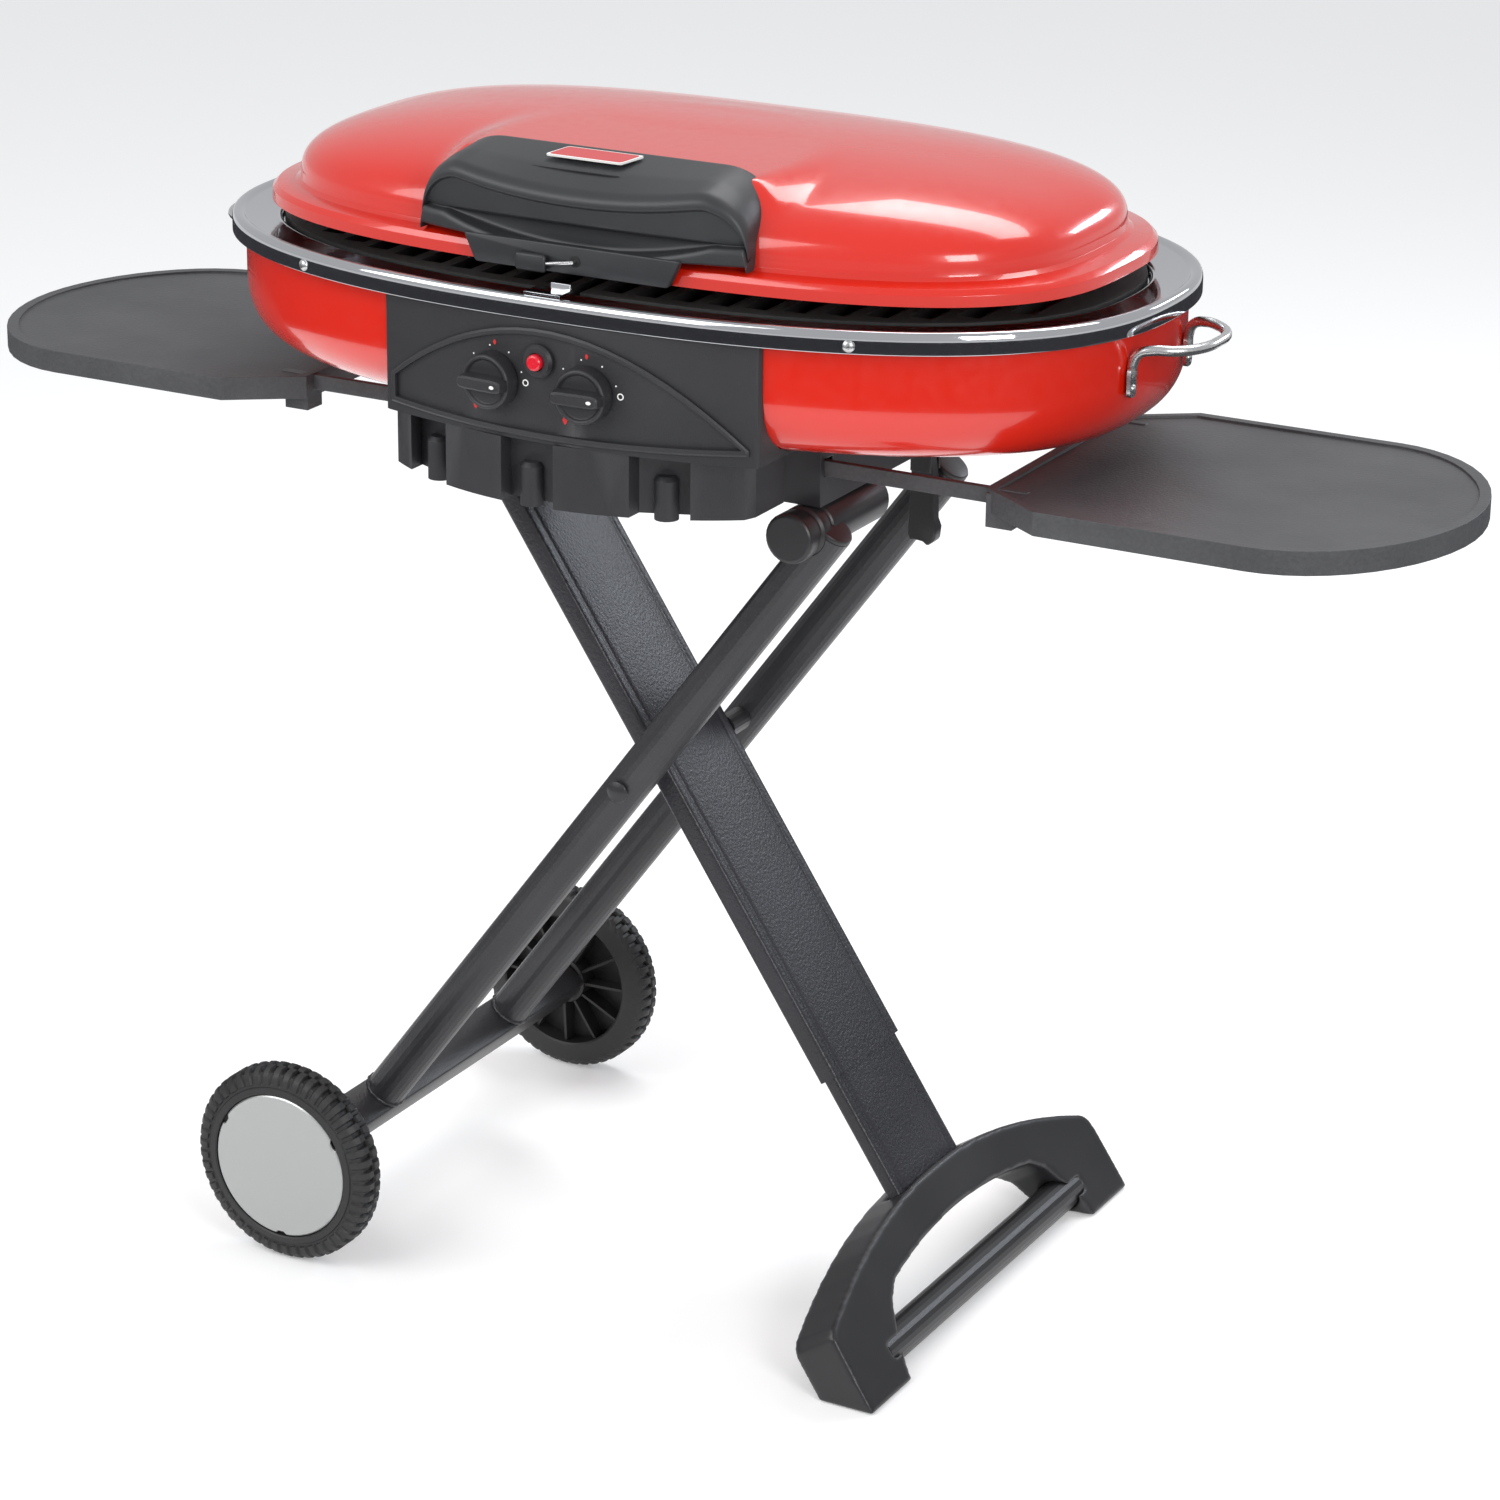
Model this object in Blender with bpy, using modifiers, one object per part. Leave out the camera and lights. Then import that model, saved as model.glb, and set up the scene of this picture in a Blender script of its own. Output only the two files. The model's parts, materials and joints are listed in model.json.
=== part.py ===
"""Two-burner gas grill on a folding scissor stand with wheels, two side tables and a hinged lid.

Metres, +Z up, ground at z = 0. The front of the grill (panel and lid handle) faces -Y, and the
origin is on the ground under the middle of the overall box. The sizes below are stated from the
middle of the cooking box, and the last step moves the whole grill to the origin.
"""

import math

import bmesh
import bpy
from mathutils import Matrix, Vector

# ---- driving dimensions -------------------------------------------------------------------
GAP = 0.0003                       # clearance between pieces that touch

RIM_HALF_LENGTH = 0.358            # chrome rim, plan outline
RIM_HALF_DEPTH = 0.219
RIM_POWER = 2.4                    # squareness of the plan outline
RIM_BOTTOM = 0.750
RIM_TOP = 0.7655

FIREBOX_HALF_LENGTH = 0.350
FIREBOX_HALF_DEPTH = 0.206
FIREBOX_POWER = 2.4
FIREBOX_BOTTOM = 0.6670
FIREBOX_WALL = 0.002

LID_HALF_LENGTH = 0.322            # lower lip of the lid
LID_HALF_DEPTH = 0.180
LID_POWER = 2.85
LID_BOTTOM = 0.7755
LID_TOP = 0.8458
LID_WALL = 0.002
DOME_HALF_LENGTH = 0.300
DOME_HALF_DEPTH = 0.166
DOME_BASE = 0.7915

TABLE_TOP = 0.6466
TABLE_THICKNESS = 0.0167
TABLE_HALF_WIDTH = 0.1376
TABLE_STRAIGHT_END = 0.472
TABLE_END = 0.5781
TABLE_INNER = 0.272
TABLE_TRAVEL = 0.118

BOX_HALF_LENGTH = 0.1485           # chassis box under the firebox
BOX_HALF_DEPTH = 0.104
BOX_BOTTOM = 0.6131
BOX_TOP = 0.6665

LEG_ANGLE = math.radians(56.2)     # slope of the main leg
LEG_HALF_WIDTH = 0.0503
LEG_THICKNESS = 0.0202
SCISSOR_ARM = 0.2608               # top pivot to scissor bolt, the same on both legs
LEG_TOP_PIVOT = Vector((-0.1547, 0.0, 0.5946))
LEG_TUBE_LENGTH = 0.520            # top pivot to the lower end of the outer tube
LOWER_TUBE_START = 0.352           # top pivot to the hidden upper end of the inner tube
FOOT_CROWN = 0.614                 # top pivot to the crown of the foot

WHEEL_TUBE_RADIUS = 0.0152
WHEEL_TUBE_Y = 0.0902
AXLE_ARM = 0.3761                  # scissor bolt to the axle
AXLE_RADIUS = 0.005
WHEEL_RADIUS = 0.0758
WHEEL_WIDTH = 0.0283
WHEEL_OUTER_Y = 0.2184
ROLLER_RADIUS = 0.0180

PANEL_CENTRE_X = -0.005
KNOB_SPACING = 0.0725
KNOB_HEIGHT = 0.7045

KNOB_X = (PANEL_CENTRE_X - KNOB_SPACING / 2, PANEL_CENTRE_X + KNOB_SPACING / 2)

BOX_SHIFT = 0.0098                 # middle of the overall box behind the middle of the firebox

# ---- directions of the folding frame ------------------------------------------------------
LEG_DOWN = Vector((math.cos(LEG_ANGLE), 0.0, -math.sin(LEG_ANGLE)))
LEG_OUT = Vector((math.sin(LEG_ANGLE), 0.0, math.cos(LEG_ANGLE)))
SCISSOR_BOLT = LEG_TOP_PIVOT + LEG_DOWN * SCISSOR_ARM
ROLLER = SCISSOR_BOLT + Vector((LEG_DOWN.x, 0.0, -LEG_DOWN.z)) * SCISSOR_ARM
AXLE = Vector((-0.2338, 0.0, WHEEL_RADIUS))
TUBE_DOWN = (AXLE - SCISSOR_BOLT).normalized()
TUBE_SIDE = Vector((-TUBE_DOWN.z, 0.0, TUBE_DOWN.x))

for old in list(bpy.data.objects):
    bpy.data.objects.remove(old)

PARTS = bpy.data.collections.new("folding_stand_grill")
CUTTERS = bpy.data.collections.new("cutters")
bpy.context.scene.collection.children.link(PARTS)
bpy.context.scene.collection.children.link(CUTTERS)


# ---- materials ----------------------------------------------------------------------------
def finish(name, colour, roughness, metallic=0.0):
    """A Principled material with one colour."""
    material = bpy.data.materials.new(name)
    material.use_nodes = True
    shader = material.node_tree.nodes["Principled BSDF"]
    shader.inputs["Base Color"].default_value = (*colour, 1.0)
    shader.inputs["Roughness"].default_value = roughness
    shader.inputs["Metallic"].default_value = metallic
    material.diffuse_color = (*colour, 1.0)
    return material


RED_ENAMEL = finish("red_enamel", (0.62, 0.02, 0.01), 0.15)
CHROME = finish("chrome", (0.75, 0.76, 0.78), 0.08, 1.0)
BRIGHT_STEEL = finish("bright_steel", (0.62, 0.62, 0.63), 0.3, 1.0)
BLACK_STEEL = finish("black_steel", (0.02, 0.02, 0.022), 0.45)
BLACK_PLASTIC = finish("black_plastic", (0.018, 0.018, 0.02), 0.5)
TABLE_PLASTIC = finish("table_plastic", (0.035, 0.036, 0.04), 0.6)
CAST_IRON = finish("cast_iron", (0.015, 0.015, 0.015), 0.7, 0.6)
BRASS = finish("brass", (0.6, 0.42, 0.16), 0.35, 1.0)
TYRE = finish("wheel_rubber", (0.012, 0.012, 0.013), 0.75)
SILVER = finish("silver_disc", (0.55, 0.56, 0.57), 0.35, 0.8)
BADGE_RED = finish("badge_red", (0.5, 0.02, 0.02), 0.3)
BUTTON_RED = finish("button_red", (0.6, 0.01, 0.02), 0.3)
CERAMIC = finish("ceramic", (0.8, 0.78, 0.72), 0.3)


# ---- making and joining solids ------------------------------------------------------------
def add_part(name, mesh, material, smooth_angle=35.0):
    """Put a mesh in the model as a named sub-part."""
    obj = bpy.data.objects.new(name, mesh)
    PARTS.objects.link(obj)
    mesh.materials.clear()
    mesh.materials.append(material)
    mesh.shade_smooth()
    mesh.set_sharp_from_angle(angle=math.radians(smooth_angle))
    return obj


def mesh_of(bm, name):
    """Close a bmesh into a mesh with its faces pointing out."""
    bmesh.ops.recalc_face_normals(bm, faces=bm.faces[:])
    mesh = bpy.data.meshes.new(name)
    bm.to_mesh(mesh)
    bm.free()
    return mesh


def as_cutter(obj):
    """Move an object to the cutters and hide it from the model."""
    for collection in list(obj.users_collection):
        collection.objects.unlink(obj)
    CUTTERS.objects.link(obj)
    obj.hide_render = True
    obj.display_type = "WIRE"
    return obj


def combine(target, other, operation):
    """Cut or join another solid into a sub-part."""
    as_cutter(other)
    modifier = target.modifiers.new(operation.lower(), "BOOLEAN")
    modifier.object = other
    modifier.operation = operation
    modifier.solver = "EXACT"
    return target


def bevel(obj, width, segments=2, angle=40.0):
    """Round the sharp edges of a sub-part."""
    modifier = obj.modifiers.new("rounding", "BEVEL")
    modifier.width = width
    modifier.segments = segments
    modifier.limit_method = "ANGLE"
    modifier.angle_limit = math.radians(angle)
    return obj


def loft(name, rings, material, caps=True):
    """Skin a run of equal-length rings of points; without caps the run closes on itself."""
    bm = bmesh.new()
    rows = [[bm.verts.new(point) for point in ring] for ring in rings]
    count = len(rows[0])
    pairs = list(zip(rows, rows[1:]))
    if not caps:
        pairs.append((rows[-1], rows[0]))
    for first, second in pairs:
        for i in range(count):
            j = (i + 1) % count
            bm.faces.new((first[i], first[j], second[j], second[i]))
    if caps:
        bm.faces.new(rows[0])
        bm.faces.new(rows[-1])
    return add_part(name, mesh_of(bm, name), material)


def block(name, low, high, material, frame=None):
    """A box between two corners, in world axes or in a given frame."""
    bm = bmesh.new()
    bmesh.ops.create_cube(bm, size=1.0)
    size = Vector(high) - Vector(low)
    middle = (Vector(high) + Vector(low)) / 2
    bmesh.ops.scale(bm, vec=size, verts=bm.verts)
    bmesh.ops.translate(bm, vec=middle, verts=bm.verts)
    if frame is not None:
        bmesh.ops.transform(bm, matrix=frame, verts=bm.verts)
    return add_part(name, mesh_of(bm, name), material)


def rod(name, start, end, radius, material, sides=20, end_radius=None):
    """A round bar, pin or boss between two points."""
    start, end = Vector(start), Vector(end)
    bm = bmesh.new()
    bmesh.ops.create_cone(bm, cap_ends=True, segments=sides, radius1=radius,
                          radius2=radius if end_radius is None else end_radius,
                          depth=(end - start).length)
    turn = (end - start).to_track_quat("Z", "Y").to_matrix().to_4x4()
    bmesh.ops.transform(bm, matrix=Matrix.Translation((start + end) / 2) @ turn, verts=bm.verts)
    return add_part(name, mesh_of(bm, name), material)


def turned(name, profile, origin, axis, material, sides=24):
    """Turn a (radius, height) profile about an axis; both ends of the profile touch the axis."""
    bm = bmesh.new()
    rings = []
    for radius, height in profile[1:-1]:
        angles = [2 * math.pi * i / sides for i in range(sides)]
        rings.append([bm.verts.new((radius * math.cos(a), radius * math.sin(a), height))
                      for a in angles])
    for first, second in zip(rings, rings[1:]):
        for i in range(sides):
            j = (i + 1) % sides
            bm.faces.new((first[i], first[j], second[j], second[i]))
    bm.faces.new(rings[0])
    bm.faces.new(rings[-1])
    turn = Vector(axis).to_track_quat("Z", "Y").to_matrix().to_4x4()
    bmesh.ops.transform(bm, matrix=Matrix.Translation(Vector(origin)) @ turn, verts=bm.verts)
    return add_part(name, mesh_of(bm, name), material)


def prism(name, outlines, low, high, material, frame=None):
    """Extrude flat (x, y) outlines, the first the outer one and the rest holes, between two z."""
    curve = bpy.data.curves.new(name, "CURVE")
    curve.dimensions = "2D"
    curve.fill_mode = "BOTH"
    curve.extrude = (high - low) / 2
    for outline in outlines:
        spline = curve.splines.new("POLY")
        spline.points.add(len(outline) - 1)
        for point, (x, y) in zip(spline.points, outline):
            point.co = (x, y, 0.0, 1.0)
        spline.use_cyclic_u = True
    guide = bpy.data.objects.new(name + "_outline", curve)
    CUTTERS.objects.link(guide)
    graph = bpy.context.evaluated_depsgraph_get()
    mesh = bpy.data.meshes.new_from_object(guide.evaluated_get(graph))
    bpy.data.objects.remove(guide)
    bm = bmesh.new()
    bm.from_mesh(mesh)
    bmesh.ops.remove_doubles(bm, verts=bm.verts, dist=0.00001)
    bmesh.ops.translate(bm, vec=(0.0, 0.0, (low + high) / 2), verts=bm.verts)
    if frame is not None:
        bmesh.ops.transform(bm, matrix=frame, verts=bm.verts)
    return add_part(name, mesh_of(bm, name), material)


def wire(name, points, radius, material, resolution=2, smooth=True, steps=5):
    """A bent rod of round section through the given points."""
    curve = bpy.data.curves.new(name, "CURVE")
    curve.dimensions = "3D"
    curve.bevel_depth = radius
    curve.bevel_resolution = resolution
    curve.use_fill_caps = True
    curve.resolution_u = steps
    if smooth:
        spline = curve.splines.new("BEZIER")
        spline.bezier_points.add(len(points) - 1)
        for knot, place in zip(spline.bezier_points, points):
            knot.co = place
            knot.handle_left_type = "AUTO"
            knot.handle_right_type = "AUTO"
    else:
        spline = curve.splines.new("POLY")
        spline.points.add(len(points) - 1)
        for knot, place in zip(spline.points, points):
            knot.co = (*place, 1.0)
    guide = bpy.data.objects.new(name + "_path", curve)
    CUTTERS.objects.link(guide)
    graph = bpy.context.evaluated_depsgraph_get()
    mesh = bpy.data.meshes.new_from_object(guide.evaluated_get(graph))
    bpy.data.objects.remove(guide)
    bm = bmesh.new()
    bm.from_mesh(mesh)
    bmesh.ops.remove_doubles(bm, verts=bm.verts, dist=0.00001)
    return add_part(name, mesh_of(bm, name), material)


def frame_at(origin, x_axis, y_axis):
    """A placement whose local X and Y lie along the given directions."""
    x_axis, y_axis = Vector(x_axis).normalized(), Vector(y_axis).normalized()
    z_axis = x_axis.cross(y_axis)
    turn = Matrix((x_axis, y_axis, z_axis)).transposed().to_4x4()
    return Matrix.Translation(Vector(origin)) @ turn


def oval(half_x, half_y, power, count=64):
    """Points of a superellipse, spread evenly by angle."""
    points = []
    for i in range(count):
        angle = 2 * math.pi * i / count
        c, s = math.cos(angle), math.sin(angle)
        reach = (abs(c) ** power + abs(s) ** power) ** (-1 / power)
        points.append((half_x * reach * c, half_y * reach * s))
    return points


def oval_ring(half_x, half_y, power, z, count=64):
    """The same outline as a ring of points at one height."""
    return [Vector((x, y, z)) for x, y in oval(half_x, half_y, power, count)]


def oval_depth(half_x, half_y, power, x):
    """Half depth of an oval at a given x."""
    return half_y * (1 - min(abs(x) / half_x, 1.0) ** power) ** (1 / power)


# ---- firebox: pressed steel bowl ----------------------------------------------------------
def firebox_ring(inset, z, offset=0.0, count=64):
    return oval_ring(FIREBOX_HALF_LENGTH - inset + offset, FIREBOX_HALF_DEPTH - inset + offset,
                     FIREBOX_POWER, z, count)


def bowl_height(inset, reach=0.052, rise=0.050):
    """Height of the rounded lower corner of the bowl at an inset from its wall."""
    part = 1 - min(inset / reach, 1.0)
    return FIREBOX_BOTTOM + rise * (1 - (1 - part ** 2.3) ** (1 / 2.3))


def bowl_rings(offset, bottom_drop):
    """Rings of the bowl from its rim down to the flat floor, grown by an offset."""
    rings = [firebox_ring(0.0, RIM_TOP - 0.0095, offset), firebox_ring(0.0, 0.735, offset)]
    for inset in (0.0, 0.0025, 0.007, 0.014, 0.024, 0.037, 0.052):
        rings.append(firebox_ring(inset, bowl_height(inset) - bottom_drop, offset))
    return rings


outer_rings = bowl_rings(0.0, 0.0)
inner_rings = bowl_rings(-FIREBOX_WALL, -FIREBOX_WALL)
firebox = loft("firebox", outer_rings[::-1] + inner_rings, RED_ENAMEL)
for index, x in enumerate(KNOB_X, start=1):
    combine(firebox, rod(f"burner_hole_{index}", (x, -0.215, KNOB_HEIGHT),
                         (x, -0.165, KNOB_HEIGHT), 0.0095, RED_ENAMEL, 16), "DIFFERENCE")

# ---- rim ring: one folded chrome pressing round the top of the firebox ----------------------
RIM_PROFILE = (                    # inset from the outline, height
    (0.0000, RIM_BOTTOM), (0.0000, RIM_TOP - 0.0050), (0.0012, RIM_TOP - 0.0018),
    (0.0040, RIM_TOP), (0.0075, RIM_TOP - 0.0012), (0.0095, RIM_TOP - 0.0025),
    (0.0320, RIM_TOP - 0.0035), (0.0345, RIM_TOP - 0.0055), (0.0345, RIM_TOP - 0.0120),
    (0.0450, RIM_TOP - 0.0125), (0.0450, RIM_TOP - 0.0140), (0.0330, RIM_TOP - 0.0135),
    (0.0330, RIM_TOP - 0.0060), (0.0310, RIM_TOP - 0.0050), (0.0080, RIM_TOP - 0.0042),
    (0.0040, RIM_TOP - 0.0030), (0.0020, RIM_TOP - 0.0060), (0.0014, RIM_BOTTOM))
rim_ring = loft("rim_ring", [oval_ring(RIM_HALF_LENGTH - inset, RIM_HALF_DEPTH - inset,
                                       RIM_POWER, z) for inset, z in RIM_PROFILE],
                CHROME, caps=False)
SCREW_HEIGHT = 0.7555
for index, (side_x, side_y) in enumerate(((-1, -1), (1, -1), (1, 1), (-1, 1)), start=1):
    x = side_x * 0.212
    y = side_y * oval_depth(RIM_HALF_LENGTH, RIM_HALF_DEPTH, RIM_POWER, x)
    slope = Vector((math.copysign(abs(x / RIM_HALF_LENGTH) ** (RIM_POWER - 1), x)
                    / RIM_HALF_LENGTH,
                    math.copysign(abs(y / RIM_HALF_DEPTH) ** (RIM_POWER - 1), y)
                    / RIM_HALF_DEPTH, 0.0)).normalized()
    seat = Vector((x, y, SCREW_HEIGHT))
    turned(f"rim_screw_{index}", ((0, -0.0040), (0.0018, -0.0040), (0.0018, 0.0004),
                                  (0.0042, 0.0004), (0.0040, 0.0016), (0.0026, 0.0028),
                                  (0.0006, 0.0032), (0, 0.0032)), seat, slope, BRIGHT_STEEL, 16)
    combine(rim_ring, rod(f"rim_screw_hole_{index}", seat - slope * 0.006,
                          seat + slope * 0.004, 0.0022, CHROME, 12), "DIFFERENCE")

# ---- inside the firebox --------------------------------------------------------------------
PAN_FLOOR = FIREBOX_BOTTOM + 0.0030
pan_outside = [oval_ring(0.262 + grow, 0.128 + grow, 2.6, z, 40)
               for grow, z in ((0.0, PAN_FLOOR), (0.008, PAN_FLOOR + 0.014))]
pan_inside = [oval_ring(0.2605 + grow, 0.1265 + grow, 2.6, z, 40)
              for grow, z in ((0.008, PAN_FLOOR + 0.014), (0.0, PAN_FLOOR + 0.0015))]
loft("grease_pan", pan_outside + pan_inside, BRIGHT_STEEL)

BURNER_HEIGHT = KNOB_HEIGHT
for side, label, start in ((-1, "left", KNOB_X[0]), (1, "right", KNOB_X[1])):
    near = side * 0.085
    far = side * 0.245
    turns = [(start, -0.2056, BURNER_HEIGHT), (start, -0.1500, BURNER_HEIGHT),
             (near, -0.0900, BURNER_HEIGHT), (near, 0.0550, BURNER_HEIGHT)]
    middle = (near + far) / 2
    reach = abs(far - near) / 2
    for step in range(1, 8):
        angle = math.pi * (1 - step / 8)
        turns.append((middle + side * reach * math.cos(angle),
                      0.0550 + reach * 0.75 * math.sin(angle), BURNER_HEIGHT))
    turns += [(far, 0.0550, BURNER_HEIGHT), (far, -0.0900, BURNER_HEIGHT)]
    wire(f"burner_{label}", turns, 0.0088, BRIGHT_STEEL, resolution=2, smooth=False)

GRATE_TOP = 0.7625
GRATE_BOTTOM = RIM_TOP - 0.0117
for side, label in ((-1, "left"), (1, "right")):
    half_x, half_y = RIM_HALF_LENGTH - 0.0365, RIM_HALF_DEPTH - 0.0365
    arc = [(x, y) for x, y in oval(half_x, half_y, RIM_POWER, 56) if x > 0.012]
    arc.sort(key=lambda point: math.atan2(point[1], point[0]))
    ends = half_y * (1 - (0.0052 / half_x) ** RIM_POWER) ** (1 / RIM_POWER)
    outline = [(0.0052, -ends)] + arc + [(0.0052, ends)]
    holes = []
    slot_count = 11
    for slot in range(slot_count):
        x = 0.022 + slot * 0.0262
        reach = oval_depth(half_x, half_y, RIM_POWER, x + 0.0087) - 0.012
        holes.append([(x - 0.0085, -reach), (x + 0.0085, -reach),
                      (x + 0.0085, reach), (x - 0.0085, reach)])
    flip = [[(side * px, py) for px, py in loop] for loop in [outline] + holes]
    prism(f"cooking_grate_{label}", flip, GRATE_BOTTOM, GRATE_TOP, CAST_IRON)

# ---- control panel: hollow moulded housing on the front of the firebox ------------------------
FACE_Y = -0.2185
FACE_RADIUS = 0.550
FACE_CENTRE_X = 0.0055
FACE_HALF = 0.1462
SKIRT_RADIUS = 0.235
SKIRT_CENTRE_X = -0.0080
SKIRT_LEFT, SKIRT_RIGHT = -0.1490, 0.1330
PANEL_LOW = 0.6210
PANEL_SPLIT = 0.6655
PANEL_HIGH = RIM_BOTTOM - 0.0006


def arc_y(x, centre_x, radius, proud):
    """Y of an upright curved face at a given x."""
    return FACE_Y - proud + radius - math.sqrt(radius ** 2 - (x - centre_x) ** 2)


def face_y(x, proud=0.0):
    """Y of the upper face, which carries the controls."""
    return arc_y(x, FACE_CENTRE_X, FACE_RADIUS, proud)


def skirt_y(x, proud=0.0):
    """Y of the skirt below the upper face, which curves more tightly."""
    return arc_y(x, SKIRT_CENTRE_X, SKIRT_RADIUS, proud)


def face_normal(x):
    """Outward direction of the upper face at a given x."""
    across = x - FACE_CENTRE_X
    return Vector((across, -math.sqrt(FACE_RADIUS ** 2 - across ** 2), 0.0)).normalized()


def panel_outline(curve, proud, left, right, back_y):
    """Plan outline of a room or wall: a curved face, small corners and straight sides."""
    count = 18
    front = []
    for i in range(count + 1):
        x = left + 0.004 + (right - left - 0.008) * i / count
        front.append((x, curve(x, proud)))
    return ([(left, back_y), (left, front[0][1] + 0.0045), (left + 0.0012, front[0][1] + 0.0014)]
            + front + [(right - 0.0012, front[-1][1] + 0.0014), (right, front[-1][1] + 0.0045),
                       (right, back_y)])


PANEL_BACK = -0.1480
face_left, face_right = FACE_CENTRE_X - FACE_HALF, FACE_CENTRE_X + FACE_HALF
control_panel = prism("control_panel",
                      [panel_outline(face_y, 0.0, face_left, face_right, PANEL_BACK)],
                      PANEL_SPLIT, PANEL_HIGH, BLACK_PLASTIC)
skirt_outline = [(SKIRT_LEFT, -0.1280), (SKIRT_LEFT, skirt_y(SKIRT_LEFT) + 0.004)]
BLOCKS = ((SKIRT_LEFT + 0.0035, -0.1265), (-0.0865, -0.0350), (0.0065, 0.0600),
          (0.0985, SKIRT_RIGHT - 0.0035))
for low, high in BLOCKS:
    steps = 4
    edge = [(low + (high - low) * i / steps, skirt_y(low + (high - low) * i / steps, 0.003))
            for i in range(steps + 1)]
    if low != BLOCKS[0][0]:
        edge = [(low, skirt_y(low, -0.011))] + edge
    if high != BLOCKS[-1][1]:
        edge = edge + [(high, skirt_y(high, -0.011))]
    skirt_outline += edge
skirt_outline += [(SKIRT_RIGHT, skirt_y(SKIRT_RIGHT) + 0.004), (SKIRT_RIGHT, -0.1280)]
panel_skirt = prism("panel_skirt", [skirt_outline], PANEL_LOW, PANEL_SPLIT + 0.0005,
                    BLACK_PLASTIC)
combine(control_panel, panel_skirt, "UNION")
for index, x in enumerate((-0.1045, -0.0175, 0.0780), start=1):
    post = turned(f"panel_post_{index}", ((0, PANEL_LOW - 0.003), (0.0085, PANEL_LOW - 0.003),
                                          (0.0085, 0.6455), (0.0060, 0.6485), (0, 0.6485)),
                  (x, skirt_y(x, -0.0105), 0.0), (0, 0, 1), BLACK_PLASTIC, 16)
    combine(control_panel, post, "UNION")
upper_room = prism("upper_room", [panel_outline(face_y, -0.0030, face_left + 0.0050,
                                                face_right - 0.0050, -0.1000)],
                   0.6690, PANEL_HIGH - 0.0030, BLACK_PLASTIC)
combine(control_panel, upper_room, "DIFFERENCE")
lower_room = prism("lower_room", [panel_outline(skirt_y, -0.0170, SKIRT_LEFT + 0.0050,
                                                SKIRT_RIGHT - 0.0050, -0.1000)],
                   PANEL_LOW - 0.010, 0.6720, BLACK_PLASTIC)
combine(control_panel, lower_room, "DIFFERENCE")
bowl_clearance = loft("bowl_clearance", [firebox_ring(0.0, 0.80, 0.0006)]
                      + bowl_rings(0.0006, 0.0006), RED_ENAMEL)
combine(control_panel, bowl_clearance, "DIFFERENCE")
IGNITER_X = PANEL_CENTRE_X
IGNITER_HEIGHT = 0.7225
for index, x in enumerate(KNOB_X, start=1):
    centre = Vector((x, face_y(x), KNOB_HEIGHT))
    combine(control_panel, rod(f"knob_hole_{index}", centre + face_normal(x) * 0.010,
                               centre - face_normal(x) * 0.030, 0.0060, BLACK_PLASTIC, 16),
            "DIFFERENCE")
igniter_seat = Vector((IGNITER_X, face_y(IGNITER_X), IGNITER_HEIGHT))
combine(control_panel, rod("igniter_hole", igniter_seat + Vector((0, -0.010, 0)),
                           igniter_seat + Vector((0, 0.030, 0)), 0.0086, BLACK_PLASTIC, 20),
        "DIFFERENCE")


# ---- lens-shaped bezel round the controls -------------------------------------------------------
def lens_outline(grow):
    """Arched outline of the bezel in (x, z): a high arch above, a shallow bow below."""
    left, right = -0.1335 - grow, 0.1460 + grow
    count = 20
    points = []
    for i in range(count + 1):
        x = left + (right - left) * i / count
        points.append((x, 0.6686 - grow + 0.24 * x * x))
    for i in range(count, -1, -1):
        x = left + (right - left) * i / count
        points.append((x, 0.7446 + grow - 3.0 * (x + 0.0030) ** 2))
    return points


def bezel_rings():
    rings = []
    for grow, proud in ((0.0, 0.0004), (0.0, 0.0022), (-0.0016, 0.0032), (-0.0042, 0.0028),
                        (-0.0048, 0.0004)):
        ring = []
        for x, z in lens_outline(grow):
            ring.append(Vector((x, face_y(x, proud), z)))
        rings.append(ring)
    return rings


loft("panel_bezel", bezel_rings(), BLACK_PLASTIC, caps=False)

turned("igniter_collar", ((0, 0.0004), (0.0118, 0.0004), (0.0118, 0.0030), (0.0100, 0.0052),
                          (0.0080, 0.0052), (0, 0.0052)), igniter_seat, (0, -1, 0),
       BLACK_PLASTIC, 24)
combine(bpy.data.objects["igniter_collar"],
        rod("igniter_collar_bore", igniter_seat + Vector((0, 0.001, 0)),
            igniter_seat + Vector((0, -0.010, 0)), 0.0063, BLACK_PLASTIC, 20), "DIFFERENCE")
turned("igniter_button", ((0, -0.0070), (0.0035, -0.0070), (0.0035, -0.0010), (0.0058, -0.0010),
                          (0.0058, 0.0078), (0.0046, 0.0092), (0, 0.0092)),
       igniter_seat, (0, -1, 0), BUTTON_RED, 20)
turned("igniter_housing", ((0, 0.0), (0.0078, 0.0), (0.0078, 0.0060), (0, 0.0060)),
       igniter_seat + Vector((0, 0.0115, 0)), (0, -1, 0), BLACK_PLASTIC, 16)
combine(bpy.data.objects["igniter_housing"],
        rod("igniter_housing_bore", igniter_seat + Vector((0, 0.0130, 0)),
            igniter_seat + Vector((0, 0.0, 0)), 0.0045, BLACK_PLASTIC, 16), "DIFFERENCE")

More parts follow.
